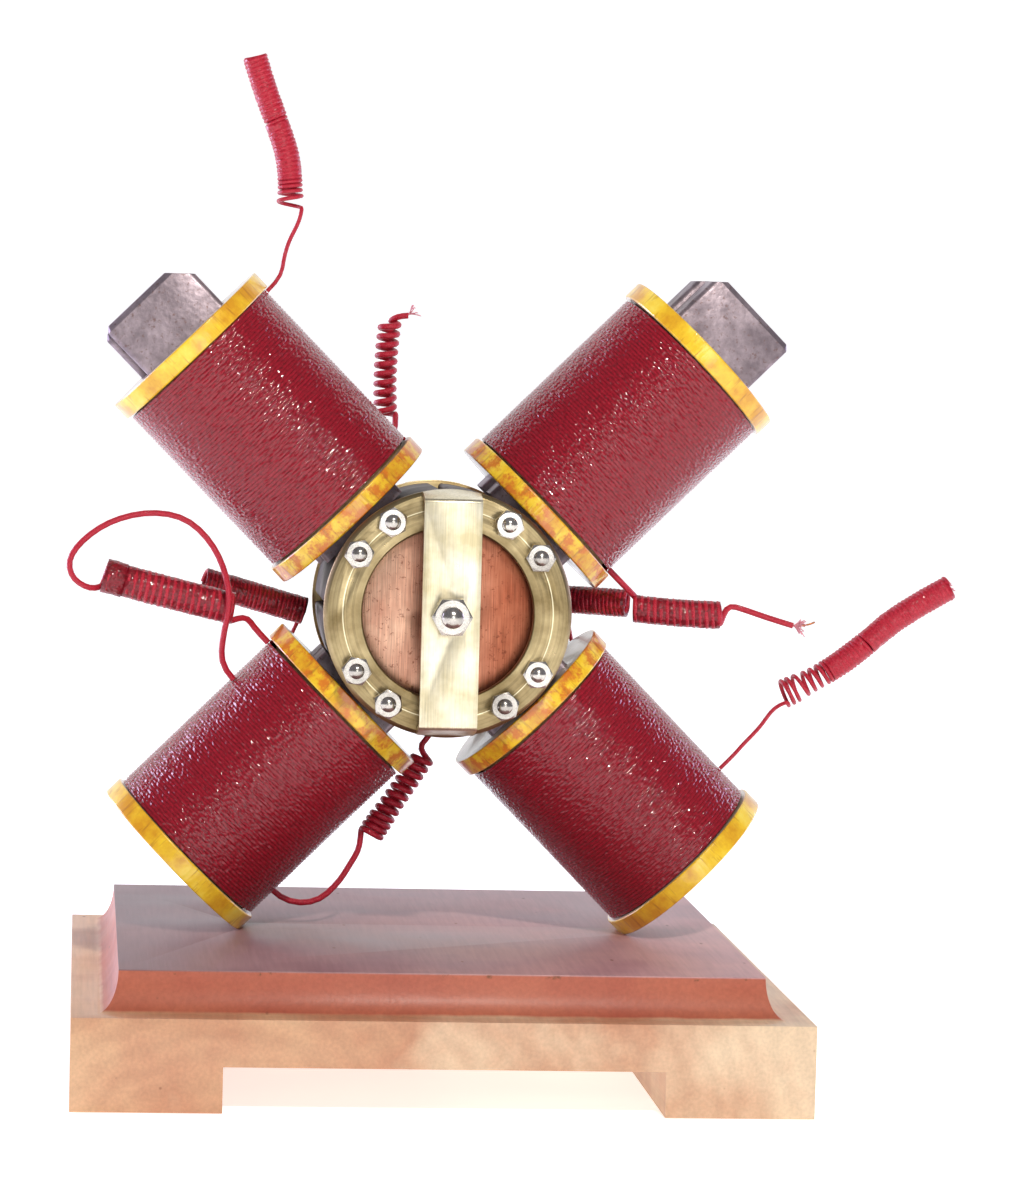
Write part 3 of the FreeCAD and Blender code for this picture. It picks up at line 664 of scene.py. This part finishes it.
def apply_modifier(piece: Object, kind: str, **settings: object) -> None:
    """Adds a modifier with its settings and applies it.

    Args:
        piece: Mesh piece.
        kind: Type of the modifier.
        settings: Its attributes.
    """
    make_active(piece)
    modifier = piece.modifiers.new(kind.lower(), kind)
    for name, value in settings.items():
        setattr(modifier, name, value)
    bpy.ops.object.modifier_apply(modifier=modifier.name)


def rounded_copy(node: str, name: str, edge_mm: float) -> Object:
    """Copies a CAD node's mesh into a new piece and rounds its sharp edges as a file would.

    Args:
        node: Name of the CAD node.
        name: Name of the new piece.
        edge_mm: Width of the rounding.

    Returns:
        The new piece, with its doubles merged, its flats made whole and smooth shading.
    """
    piece = bpy.data.objects.new(name, frame["nodes"][node].data.copy())
    bpy.context.scene.collection.objects.link(piece)
    piece.hide_render = False
    edit_all(piece, MERGE_MM)
    bpy.ops.mesh.dissolve_limited(angle_limit=math.radians(0.6))
    bpy.ops.object.mode_set(mode="OBJECT")
    apply_modifier(piece, "BEVEL", width=edge_mm * MM, segments=2, limit_method="ANGLE",
                   angle_limit=SHARP_EDGE, use_clamp_overlap=True, harden_normals=False)
    make_active(piece)
    bpy.ops.object.shade_smooth_by_angle(angle=SHARP_EDGE)
    return piece


def pole_place(piece: Object, pole: Pole) -> None:
    """Stores each vertex's (along, across, depth) in metres, for patterns that follow the pole.

    Args:
        piece: Mesh piece.
        pole: Pole that it belongs to.
    """
    layer = piece.data.attributes.new("pole_place", "FLOAT_VECTOR", "POINT")
    for vertex, item in zip(piece.data.vertices, layer.data):
        item.vector = pole.local(vertex.co)


@dataclass
class Base:
    """The moulded beech board."""

    finishes: Finishes
    edge_mm: float = 0.45

    def build(self) -> None:
        """Rounds the board's edges and gives it its grain."""
        board = rounded_copy("base", "beech_board", self.edge_mm)
        self.finishes.settle(board, "beech", STATOR, Slot.WOOD, "base")


@dataclass
class BrassFrame:
    """Rings, bridges, studs, nuts and pivot screws."""

    finishes: Finishes
    ring_edge_mm: float = 0.18
    strap_edge_mm: float = 0.3

    def build(self) -> None:
        """Dresses the frame, front and rear."""
        for side in ("front", "rear"):
            ring = rounded_copy(f"{side}_ring", f"{side}_brass_ring", self.ring_edge_mm)
            self.finishes.settle(ring, "ring", STATOR, Slot.BRASS, f"{side}_ring")
            strap = rounded_copy(f"{side}_bridge", f"{side}_brass_strap", self.strap_edge_mm)
            self.finishes.settle(strap, "strap", STATOR, Slot.BRASS, f"{side}_bridge")
            for node in (f"{side}_pivot_screw", f"{side}_lock_nut", f"{side}_nuts"):
                self.finishes.dress(frame["nodes"][node], "steel")
        self.finishes.dress(frame["nodes"]["clamp_studs"], "steel")
        self.finishes.dress(frame["nodes"]["fixing_screws"], "steel")


@dataclass
class Rotor:
    """Copper drum with end discs, on its steel shaft."""

    finishes: Finishes
    edge_mm: float = 0.3

    def build(self) -> None:
        """Dresses the rotor."""
        for side in ("front", "rear"):
            disc = rounded_copy(f"rotor_{side}_disc", f"{side}_copper_disc", self.edge_mm)
            self.finishes.settle(disc, "copper", ROTOR, Slot.COPPER, f"rotor_{side}_disc")
        self.finishes.dress(frame["nodes"]["rotor_drum"], "copper")
        self.finishes.dress(frame["nodes"]["rotor_core"], "iron")
        self.finishes.dress(frame["nodes"]["rotor_shaft"], "steel")


@dataclass
class CoilPole:
    """One pole: shoe, core bars, two flanges, former and winding."""

    finishes: Finishes
    pole: Pole
    wire_mm: float = 1.16
    pitch_mm: float = 1.0
    sides: int = 8
    steps: int = 96
    flange_edge_mm: float = 0.3
    wobble_mm: float = 0.14
    bar_edge_mm: float = 0.5
    seam_mm: float = 0.005
    drawn_out: float = 1.4

    def build(self) -> None:
        """Builds and dresses the pole."""
        prefix = self.pole.node
        self.finishes.dress(frame["nodes"][f"{prefix}_pole_shoe"], "iron")
        self.finishes.dress(frame["nodes"][f"{prefix}_former"], "card")
        self._core()
        for end in ("inner", "outer"):
            self._flange(end)
        self._winding()

    def _core(self) -> None:
        """The two steel bars, their edges worn round."""
        prefix = self.pole.node
        bars = rounded_copy(f"{prefix}_core", f"{prefix}_steel_bars", self.bar_edge_mm)
        self.finishes.settle(bars, "bar", STATOR, Slot.CORE, f"{prefix}_core")

    def _flange(self, end: str) -> None:
        """One turned flange.

        Args:
            end: inner or outer.
        """
        node = f"{self.pole.node}_{end}_flange"
        name = f"{self.pole.node}_{end}_wood_flange"
        disc = rounded_copy(node, name, self.flange_edge_mm)
        pole_place(disc, self.pole)
        self.finishes.settle(disc, "flange", STATOR, Slot.FLANGE, node)

    def _winding(self) -> None:
        """One layer of covered wire as a true helix from flange to flange."""
        node = f"{self.pole.node}_winding"
        reach = [self.pole.local(v.co) for v in frame["nodes"][node].data.vertices]
        start = min(place.x for place in reach)
        end = max(place.x for place in reach)
        outside = max(math.hypot(place.y, place.z) for place in reach)
        radius = self.wire_mm * MM / 2.0
        turns = int((end - start - 2.0 * radius) / (self.pitch_mm * MM))
        pitch = (end - start - 2.0 * radius) / turns
        deselect_all()
        bpy.ops.mesh.primitive_circle_add(
            vertices=self.sides, radius=radius, fill_type="NOTHING",
            location=(outside - radius, 0.0, start + radius), rotation=(math.pi / 2.0, 0.0, 0.0))
        wire = bpy.context.object
        wire.name = f"{self.pole.node}_covered_winding"
        bpy.ops.object.transform_apply(location=True, rotation=True, scale=True)
        apply_modifier(wire, "SCREW", axis="Z", angle=TURN, screw_offset=pitch, iterations=turns,
                       steps=self.steps, render_steps=self.steps, use_merge_vertices=False)
        edit_all(wire, self.seam_mm)
        bpy.ops.mesh.select_all(action="DESELECT")
        bpy.ops.mesh.select_non_manifold()
        bpy.ops.mesh.edge_face_add()
        bpy.ops.mesh.select_all(action="SELECT")
        bpy.ops.mesh.normals_make_consistent(inside=False)
        bpy.ops.object.mode_set(mode="OBJECT")
        self._lay_unevenly(wire, outside)
        bpy.ops.object.shade_smooth()
        self.finishes.settle(wire, "wound", STATOR, Slot.WIRE, node)

    def _lay_unevenly(self, wire: Object, outside: float) -> None:
        """Sinks some stretches of the turns by up to the wobble, then places the coil on its pole.

        Args:
            wire: Wound wire about +Z.
            outside: Outer radius of the winding in metres.
        """
        place = self.pole.matrix() @ Matrix.Rotation(math.pi / 2.0, 4, "Y")
        along_turns = wire.data.attributes.new("turn_place", "FLOAT_VECTOR", "POINT")
        outward = wire.data.attributes.new("outward", "FLOAT_VECTOR", "POINT")
        turned = place.to_3x3()
        for vertex, item, away in zip(wire.data.vertices, along_turns.data, outward.data):
            x, y, z = vertex.co
            item.vector = (x / self.drawn_out, y / self.drawn_out, z)
            away.vector = (turned @ Vector((x, y, 0.0))).normalized()
            around = math.atan2(y, x)
            sample = Vector((3.0 * math.cos(around), 3.0 * math.sin(around), z / (0.9 * MM)))
            sink = (0.5 + 0.5 * noise.noise(sample)) * self.wobble_mm * MM
            shrink = 1.0 - sink / outside
            vertex.co = place @ Vector((x * shrink, y * shrink, z))
        wire.data.update()


@dataclass(frozen=True)
class Stretch:
    """Part of a helix: where it ends along the axis, its pitch, its width and if wax binds it."""

    until: float
    pitch_mm: float
    width: float = 1.0
    waxed: bool = False


@dataclass(frozen=True)
class Tuft:
    """Frayed cotton at the end of a lead: where it starts, which way it points and how far."""

    tip_mm: Triple
    towards: Triple
    reach_mm: float = 3.4
    threads: int = 9
    bare_mm: float = 0.0


@dataclass(frozen=True)
class Lead:
    """A lead of covered wire: straight out of its winding, a helix, and what follows it."""

    name: str
    pole: Pole
    along_mm: float
    angle: float
    route_mm: tuple[Triple, ...]
    axis_mm: tuple[Triple, ...]
    outside_mm: float
    length: float
    wire_mm: float = 1.2
    stretches: tuple[Stretch, ...] = (Stretch(1.0, 1.22, 1.0, True),)
    after_mm: tuple[Triple, ...] = ()
    meets: tuple[float, float] | None = None
    nodes: tuple[str, ...] = ("wire", "helix")
    far_end: str = "bare"
    phase: float = 0.0
    wax: str = "wax"
    tuft: Tuft | None = None


WINDING_RADIUS_MM = 26.4
EXIT_RISE_MM = 5.5
POINTS_A_TURN = 12
NEAR_INNER_MM = 42.7
NEAR_OUTER_MM = 99.3

LEADS = (
    Lead("upper_left_outer_lead", Pole.UPPER_LEFT, NEAR_OUTER_MM, 180.0,
         ((-44.0, 0, 228.4), (-42.6, 0, 233.4), (-40.0, 0, 238.4)),
         ((-42.6, 0, 242.6), (-42.4, 0, 254.0), (-46.8, 0, 266.5), (-50.8, 0, 276.5),
          (-53.6, 0, 285.0)), 7.2, 0.638, phase=180.0,
         stretches=(Stretch(0.07, 3.6, 1.12), Stretch(0.13, 1.6), Stretch(0.5, 1.22, 1.0, True),
                    Stretch(0.56, 3.4, 0.9), Stretch(1.0, 1.22, 1.0, True))),
    Lead("upper_left_inner_lead", Pole.UPPER_LEFT, NEAR_INNER_MM, 141.0, ((-9.4, 21.6, 184.4),),
         ((-12.2, 21.6, 183.4), (-13.6, 20.5, 196.0), (-11.8, 20.0, 211.0)), 7.0, 0.187, 1.8,
         (Stretch(1.0, 2.7),), after_mm=((-9.4, 20.0, 212.6), (-6.6, 20.0, 212.8)), phase=180.0,
         tuft=Tuft((-6.9, 20.0, 212.8), (0.8, 0.0, 0.55), 3.6, 8, 1.6)),
    Lead("lower_left_inner_lead", Pole.LOWER_LEFT, NEAR_INNER_MM, 180.0, ((-52.4, -2.6, 126.0),),
         ((-56.6, -4.6, 128.2), (-75.0, -5.6, 132.3), (-93.0, -5.0, 136.9)), 9.4, 0.6, 1.8,
         (Stretch(0.86, 1.875, 1.0, True), Stretch(1.0, 1.875, 1.07, True)),
         after_mm=((-97.6, -5.4, 133.0), (-102.4, -5.4, 136.0), (-103.4, -5.6, 141.6),
                   (-98.8, -5.6, 147.6), (-91.0, -5.4, 152.8), (-80.5, -5.2, 155.4),
                   (-70.4, -6.0, 154.0), (-63.0, -7.6, 147.4), (-58.8, -10.4, 139.0),
                   (-57.2, -12.0, 130.0), (-59.2, -10.0, 120.6)),
         meets=(57.0, 190.0), nodes=("wire", "helix", "loop"), far_end="object",
         wax="aged_wax"),
    Lead("lower_left_outer_lead", Pole.LOWER_LEFT, 91.3, 8.0,
         ((-30.0, 3.8, 42.8), (-23.6, 5.4, 48.6), (-20.4, 6.6, 53.8), (-17.6, 7.4, 58.4)),
         ((-14.6, 8.0, 62.6), (-7.0, 9.0, 74.0), (0.4, 9.4, 85.2)), 7.2, 0.264, 1.8,
         (Stretch(0.2, 1.85, 1.16), Stretch(1.0, 2.5)),
         after_mm=((-1.4, 8.0, 88.4), (2.9, 7.4, 92.4), (3.0, 7.0, 97.8)), far_end="object"),
    Lead("left_rear_lead", Pole.LOWER_LEFT, NEAR_INNER_MM, 125.0,
         ((-38.2, 28.0, 118.0), (-36.0, 27.0, 123.0)),
         ((-34.6, 22.6, 126.0), (-47.6, 21.6, 129.6), (-64.0, 20.0, 134.2)), 8.2, 0.571,
         phase=-115.0, wax="aged_wax"),
    Lead("right_rear_lead", Pole.LOWER_RIGHT, NEAR_INNER_MM, 55.0,
         ((44.5, 28.2, 119.0), (43.2, 26.0, 124.8)),
         ((40.0, 17.8, 131.4), (49.4, 13.4, 131.4), (58.6, 9.8, 131.0)), 8.2, 0.39,
         phase=-110.0, wax="aged_wax"),
    Lead("upper_right_inner_lead", Pole.UPPER_RIGHT, NEAR_INNER_MM, 180.0, (),
         ((60.0, 3.6, 130.0), (72.0, 1.6, 128.9), (84.6, 0.4, 128.8)), 8.2, 0.308, 1.8,
         (Stretch(1.0, 1.85, 1.0, True),),
         after_mm=((86.6, 0.3, 131.9), (91.6, 0.2, 130.6), (98.8, 0.2, 128.2),
                   (106.0, 0.2, 126.2)),
         nodes=("wire", "helix", "tail"), wax="aged_wax",
         tuft=Tuft((105.8, 0.2, 126.25), (1.0, 0.0, -0.12), 4.2, 34, 6.4)),
    Lead("lower_right_outer_lead", Pole.LOWER_RIGHT, 90.8, 0.0,
         ((92.4, 0, 91.4), (97.4, 0, 96.6), (100.8, 0, 102.0)),
         ((103.6, 0, 106.2), (115.4, 0, 112.0), (126.5, 0, 120.4), (137.5, 0, 130.4),
          (151.5, 0, 138.2)), 7.2, 0.837, phase=120.0,
         stretches=(Stretch(0.07, 1.75, 1.24), Stretch(0.12, 3.4), Stretch(0.23, 2.2),
                    Stretch(0.5, 1.22, 1.04, True), Stretch(0.55, 3.8, 0.9),
                    Stretch(1.0, 1.22, 1.04, True)),
         tuft=Tuft((150.6, 0.0, 137.6), (0.86, 0.0, 0.5), 2.4, 9)),
)


def nurbs_curve(name: str, points: list[Vector]) -> Object:
    """A clamped NURBS curve of order 3 on control points in the row frame.

    Args:
        name: Name of the curve.
        points: Its control points.

    Returns:
        The curve.
    """
    data = bpy.data.curves.new(name, "CURVE")
    data.dimensions = "3D"
    curve = bpy.data.objects.new(name, data)
    add_spline(curve, points)
    bpy.context.scene.collection.objects.link(curve)
    return curve


def add_spline(curve: Object, points: list[Vector]) -> None:
    """Adds one open spline to a curve.

    Args:
        curve: Curve to extend.
        points: The spline's control points.
    """
    spline = curve.data.splines.new("NURBS")
    spline.points.add(len(points) - 1)
    for item, place in zip(spline.points, points):
        item.co = (*place, 1.0)
    spline.order_u = 3
    spline.use_endpoint_u = True


def read_line(curve: Object, resolution: int) -> list[Vector]:
    """The points of a curve's own line, read before it has any thickness.

    Args:
        curve: Curve without a section.
        resolution: Points for each span.

    Returns:
        The points along it.
    """
    curve.data.resolution_u = resolution
    graph = bpy.context.evaluated_depsgraph_get()
    mesh = bpy.data.meshes.new_from_object(curve.evaluated_get(graph))
    line = [vertex.co.copy() for vertex in mesh.vertices]
    bpy.data.meshes.remove(mesh)
    return line


def to_mesh(curve: Object) -> None:
    """Turns a thick curve into a mesh piece with its doubles merged and its faces outwards.

    Args:
        curve: Curve with a section.
    """
    make_active(curve)
    bpy.ops.object.convert(target="MESH")
    edit_all(curve, MERGE_MM)
    bpy.ops.mesh.normals_make_consistent(inside=False)
    bpy.ops.object.mode_set(mode="OBJECT")


def helix_points(lead: Lead) -> list[Vector]:
    """Control points of a lead's helix, worked out turn by turn along its axis.

    Args:
        lead: Lead with its axis and stretches.

    Returns:
        The points, from the winding outwards.
    """
    axis = nurbs_curve("helix_axis", [mm(*place) for place in lead.axis_mm])
    line = read_line(axis, 24)
    bpy.data.objects.remove(axis)
    spans = [(b - a).length for a, b in zip(line, line[1:])]
    total = sum(spans)
    radius = (lead.outside_mm - lead.wire_mm) / 2.0 * MM / math.cos(math.pi / POINTS_A_TURN)
    side = (line[1] - line[0]).cross(Vector((0.0, 1.0, 0.0))).normalized()
    points = []
    travelled, angle, index, passed = 0.0, math.radians(lead.phase), 0, 0.0
    width = lead.stretches[0].width
    while travelled < total:
        while index < len(spans) - 1 and passed + spans[index] < travelled:
            passed += spans[index]
            index += 1
        share = (travelled - passed) / spans[index]
        centre = line[index].lerp(line[index + 1], share)
        forward = (line[index + 1] - line[index]).normalized()
        side = (side - forward * side.dot(forward)).normalized()
        other = forward.cross(side)
        here = next(s for s in lead.stretches if travelled <= s.until * total)
        width += (here.width - width) / POINTS_A_TURN
        uneven = 0.04 * noise.noise(Vector((angle / 9.0, lead.along_mm, 0.0)))
        out = (side * math.cos(angle) + other * math.sin(angle)) * radius * (width + uneven)
        points.append(centre + out)
        travelled += here.pitch_mm * MM / POINTS_A_TURN
        angle += TURN / POINTS_A_TURN
    return points


@dataclass
class LeadSet:
    """All eight leads, each one cord of a single spline, with their wax skins and frayed ends."""

    finishes: Finishes
    side_resolution: int = 2
    skin_lump_mm: float = 0.22
    skin_below: float = 0.16
    rod_below: float = 0.07
    lump_apart_mm: float = 1.7
    thread_mm: float = 0.32
    strand_mm: float = 0.56

    def build(self) -> None:
        for lead in LEADS:
            self._lead(lead)

    def _lead(self, lead: Lead) -> None:
        """Builds one lead.

        Args:
            lead: Lead to build.
        """
        points = self._off_winding(lead.pole, lead.along_mm, lead.angle)
        points += [mm(*place) for place in lead.route_mm] + helix_points(lead)
        points += [mm(*place) for place in lead.after_mm]
        if lead.meets:
            points += reversed(self._off_winding(lead.pole, *lead.meets))
        cord = nurbs_curve(f"{lead.name}_cord", points)
        log.info("%s is %.3f m long", lead.name, lead.length)
        cord.data.resolution_u = 3
        self._thicken(cord, lead.wire_mm, self.side_resolution)
        nodes = (f"{lead.name}_{part}" for part in lead.nodes)
        self.finishes.settle(cord, "wire", STATOR, Slot.WIRE, *nodes)
        pieces = self._skins(lead)
        if lead.tuft:
            pieces += self._fray(lead)

    def _thicken(self, curve: Object, thick_mm: float, sides: int) -> None:
        """Gives a curve its round section and closes its ends.

        Args:
            curve: Curve of one or more splines.
            thick_mm: Diameter of the section.
            sides: Resolution of the section.
        """
        curve.data.bevel_depth = thick_mm * MM / 2.0
        curve.data.bevel_resolution = sides
        curve.data.use_fill_caps = True

    def _off_winding(self, pole: Pole, along_mm: float, angle: float) -> list[Vector]:
        """The point on a winding where a lead leaves it, and one straight out from it.

        Args:
            pole: Pole of the winding.
            along_mm: Distance from the shaft along the pole.
            angle: Angle about the pole, from across towards the back, in degrees.

        Returns:
            Both points.
        """
        turn = math.radians(angle)
        return [pole.point(along_mm, radius * math.cos(turn), radius * math.sin(turn))
                for radius in (WINDING_RADIUS_MM, WINDING_RADIUS_MM + EXIT_RISE_MM)]

    def _skins(self, lead: Lead) -> list[Object]:
        """The shellac that binds the tight stretches of a helix: lumpy open tubes in its turns.

        Args:
            lead: Lead with its stretches.

        Returns:
            One tube per stretch.
        """
        axis = nurbs_curve("skin_axis", [mm(*place) for place in lead.axis_mm])
        line = read_line(axis, 10)
        bpy.data.objects.remove(axis)
        made = []
        start = 0.0
        for stretch in lead.stretches:
            if stretch.waxed:
                first, last = (round(share * (len(line) - 1)) for share in (start, stretch.until))
                made.append(self._skin(lead, stretch, line[first:last + 1], len(made)))
            start = stretch.until
        return made

    def _skin(self, lead: Lead, stretch: Stretch, line: list[Vector], number: int) -> Object:
        """One tube of shellac along part of a helix's axis.

        Args:
            lead: Lead that it binds.
            stretch: Stretch that it covers.
            line: Axis of the stretch.
            number: Its number on the lead.

        Returns:
            The tube.
        """
        skin = nurbs_curve(f"{lead.name}_wax_{number}", line)
        skin.data.resolution_u = 2
        below = self.rod_below if lead.wax == "aged_wax" else self.skin_below
        outside = lead.outside_mm * stretch.width / 2.0 - below * lead.wire_mm
        skin.data.bevel_depth = outside * MM
        skin.data.bevel_resolution = 8
        to_mesh(skin)
        apply_modifier(skin, "SOLIDIFY", thickness=0.6 * lead.wire_mm * MM, offset=-1.0)
        for vertex in skin.data.vertices:
            lump = noise.noise(vertex.co / (self.lump_apart_mm * MM)) * self.skin_lump_mm * MM
            vertex.co += vertex.normal * lump
        make_active(skin)
        bpy.ops.object.shade_smooth()
        self.finishes.settle(skin, lead.wax, STATOR, Slot.WIRE)
        return skin

    def _fray(self, lead: Lead) -> list[Object]:
        """Loose cotton threads fanned from the cut end, and the bare wire where it shows.

        Args:
            lead: Lead with a tuft.

        Returns:
            The pieces made.
        """
        tuft = lead.tuft
        tip = mm(*tuft.tip_mm)
        forward = Vector(tuft.towards).normalized()
        side = forward.cross(Vector((0.0, 1.0, 0.0))).normalized()
        rise = forward.cross(side)
        threads = nurbs_curve(f"{lead.name}_threads", [tip, tip + forward * MM, tip + side * MM])
        threads.data.splines.clear()
        for index in range(tuft.threads):
            angle = index * GOLDEN_ANGLE
            fan = (side * math.cos(angle) + rise * math.sin(angle)) * (0.35 + 0.1 * (index % 4))
            reach = tuft.reach_mm * (0.45 + 0.55 * abs(math.sin(3.1 * index + 1.0))) * MM
            hook = forward.cross(fan) * 0.8 + fan * math.sin(index * 1.9)
            add_spline(threads, [
                tip - forward * 0.5 * MM, tip + forward * 0.3 * reach,
                tip + (forward * 0.7 + fan) * reach,
                tip + (forward + fan * 1.3 + hook * 0.5) * reach])
        threads.data.resolution_u = 5
        self._thicken(threads, self.thread_mm, 1)
        to_mesh(threads)
        self.finishes.settle(threads, "cotton", STATOR, Slot.WIRE)
        if not tuft.bare_mm:
            return [threads]
        core = nurbs_curve(f"{lead.name}_bare_end", [
            tip - forward * MM, tip + forward * 0.6 * tuft.bare_mm * MM,
            tip + (forward + side * 0.3) * tuft.bare_mm * MM])
        self._thicken(core, self.strand_mm, 2)
        to_mesh(core)
        self.finishes.settle(core, "strand", STATOR, Slot.WIRE)
        return [threads, core]


@dataclass
class Studio:
    """Paper sweep, crisp key light and the camera at the photograph's viewing angle."""

    lens_mm: float = 134.95
    sensor_mm: float = 36.0
    place: Triple = (-0.1015, -1.2864, 0.2164)
    turn_deg: Triple = (86.259, -1.569, -5.413)
    surround: float = 0.27
    paper_glow: float = 0.62
    paper_mm: Triple = (0.0, -4000.0, -0.2)
    paper_side: float = 20.0
    wall_height: float = 10.0
    curve_radius: float = 4.5

    def build(self) -> None:
        """Builds the studio."""
        self._camera()
        self._floor()
        self._lights()

    def _camera(self) -> None:
        """The camera."""
        data = bpy.data.cameras.new("camera")
        data.sensor_width = self.sensor_mm
        data.lens = self.lens_mm
        camera = bpy.data.objects.new("camera", data)
        camera.location = self.place
        camera.rotation_euler = [math.radians(angle) for angle in self.turn_deg]
        bpy.context.scene.collection.objects.link(camera)
        bpy.context.scene.camera = camera

    def _floor(self) -> None:
        """A white paper sweep, flat under the motor and curved up far behind it."""
        deselect_all()
        bpy.ops.mesh.primitive_plane_add(size=self.paper_side, location=mm(*self.paper_mm))
        sweep = bpy.context.object
        sweep.name = "paper_sweep"
        bpy.ops.object.transform_apply(location=True)
        bpy.ops.object.mode_set(mode="EDIT")
        bpy.ops.mesh.select_mode(type="EDGE")
        bpy.ops.mesh.select_all(action="DESELECT")
        far = bmesh.from_edit_mesh(sweep.data)
        for edge in far.edges:
            edge.select = all(vertex.co.y > 0.0 for vertex in edge.verts)
        bmesh.update_edit_mesh(sweep.data)
        bpy.ops.mesh.extrude_region_move(
            TRANSFORM_OT_translate={"value": (0.0, 0.0, self.wall_height)})
        bpy.ops.object.mode_set(mode="OBJECT")
        apply_modifier(sweep, "BEVEL", width=self.curve_radius, segments=24, limit_method="ANGLE")
        make_active(sweep)
        bpy.ops.object.shade_smooth()
        material, _, shader = new_material("matt_white_paper")
        set_inputs(shader, Base_Color="#FAFAFA", Roughness=0.9, Emission_Color="#FFFFFF",
                   Emission_Strength=self.paper_glow)
        sweep.data.materials.append(material)

    def _lights(self) -> None:
        """A small crisp key, a soft card for the metals, two rims behind and a pale surround."""
        self._area("key", (0.19, -1.22, 1.17), (0.0, 0.0, 0.13), 0.09, 14.5, "#FFFAF2")
        self._area("front_card", (0.17, -1.5, 0.34), (0.0, 0.0, 0.12), 0.5, 2.2, "#FFFFFF")
        self._area("left_rim", (-1.0, 0.5, 0.3), (0.0, 0.0, 0.14), 0.6, 11.0, "#DAD4FF")
        self._area("right_rim", (1.1, 0.6, 0.25), (0.0, 0.0, 0.14), 0.6, 5.0, "#CFC8FF")
        world = bpy.data.worlds.new("pale_surround")
        world.use_nodes = True
        set_inputs(world.node_tree.nodes["Background"], Color="#F1EFFA", Strength=self.surround)
        bpy.context.scene.world = world

    def _area(self, name: str, place: Triple, target: Triple, size: float, power: float,
              code: str) -> None:
        """One square area light aimed at a point.

        Args:
            name: Name of the light.
            place: Where it stands, in metres.
            target: Point that it faces.
            size: Side of the square.
            power: Watts.
            code: Hex colour.
        """
        data = bpy.data.lights.new(name, "AREA")
        data.size = size
        data.energy = power
        data.color = linear(code)[:3]
        lamp = bpy.data.objects.new(name, data)
        lamp.location = place
        aim = Vector(target) - Vector(place)
        lamp.rotation_euler = aim.to_track_quat("-Z", "Y").to_euler()
        bpy.context.scene.collection.objects.link(lamp)


def main() -> None:
    """Builds everything."""
    logging.basicConfig(level=logging.INFO, format="%(message)s")
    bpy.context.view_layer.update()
    deselect_all()
    bpy.context.scene.view_settings.view_transform = "Standard"
    finishes = Finishes()
    finishes.build()
    Studio().build()
    LeadSet(finishes).build()
    Base(finishes).build()
    BrassFrame(finishes).build()
    Rotor(finishes).build()
    for pole in Pole:
        CoilPole(finishes, pole).build()


if __name__ == "__main__":
    main()
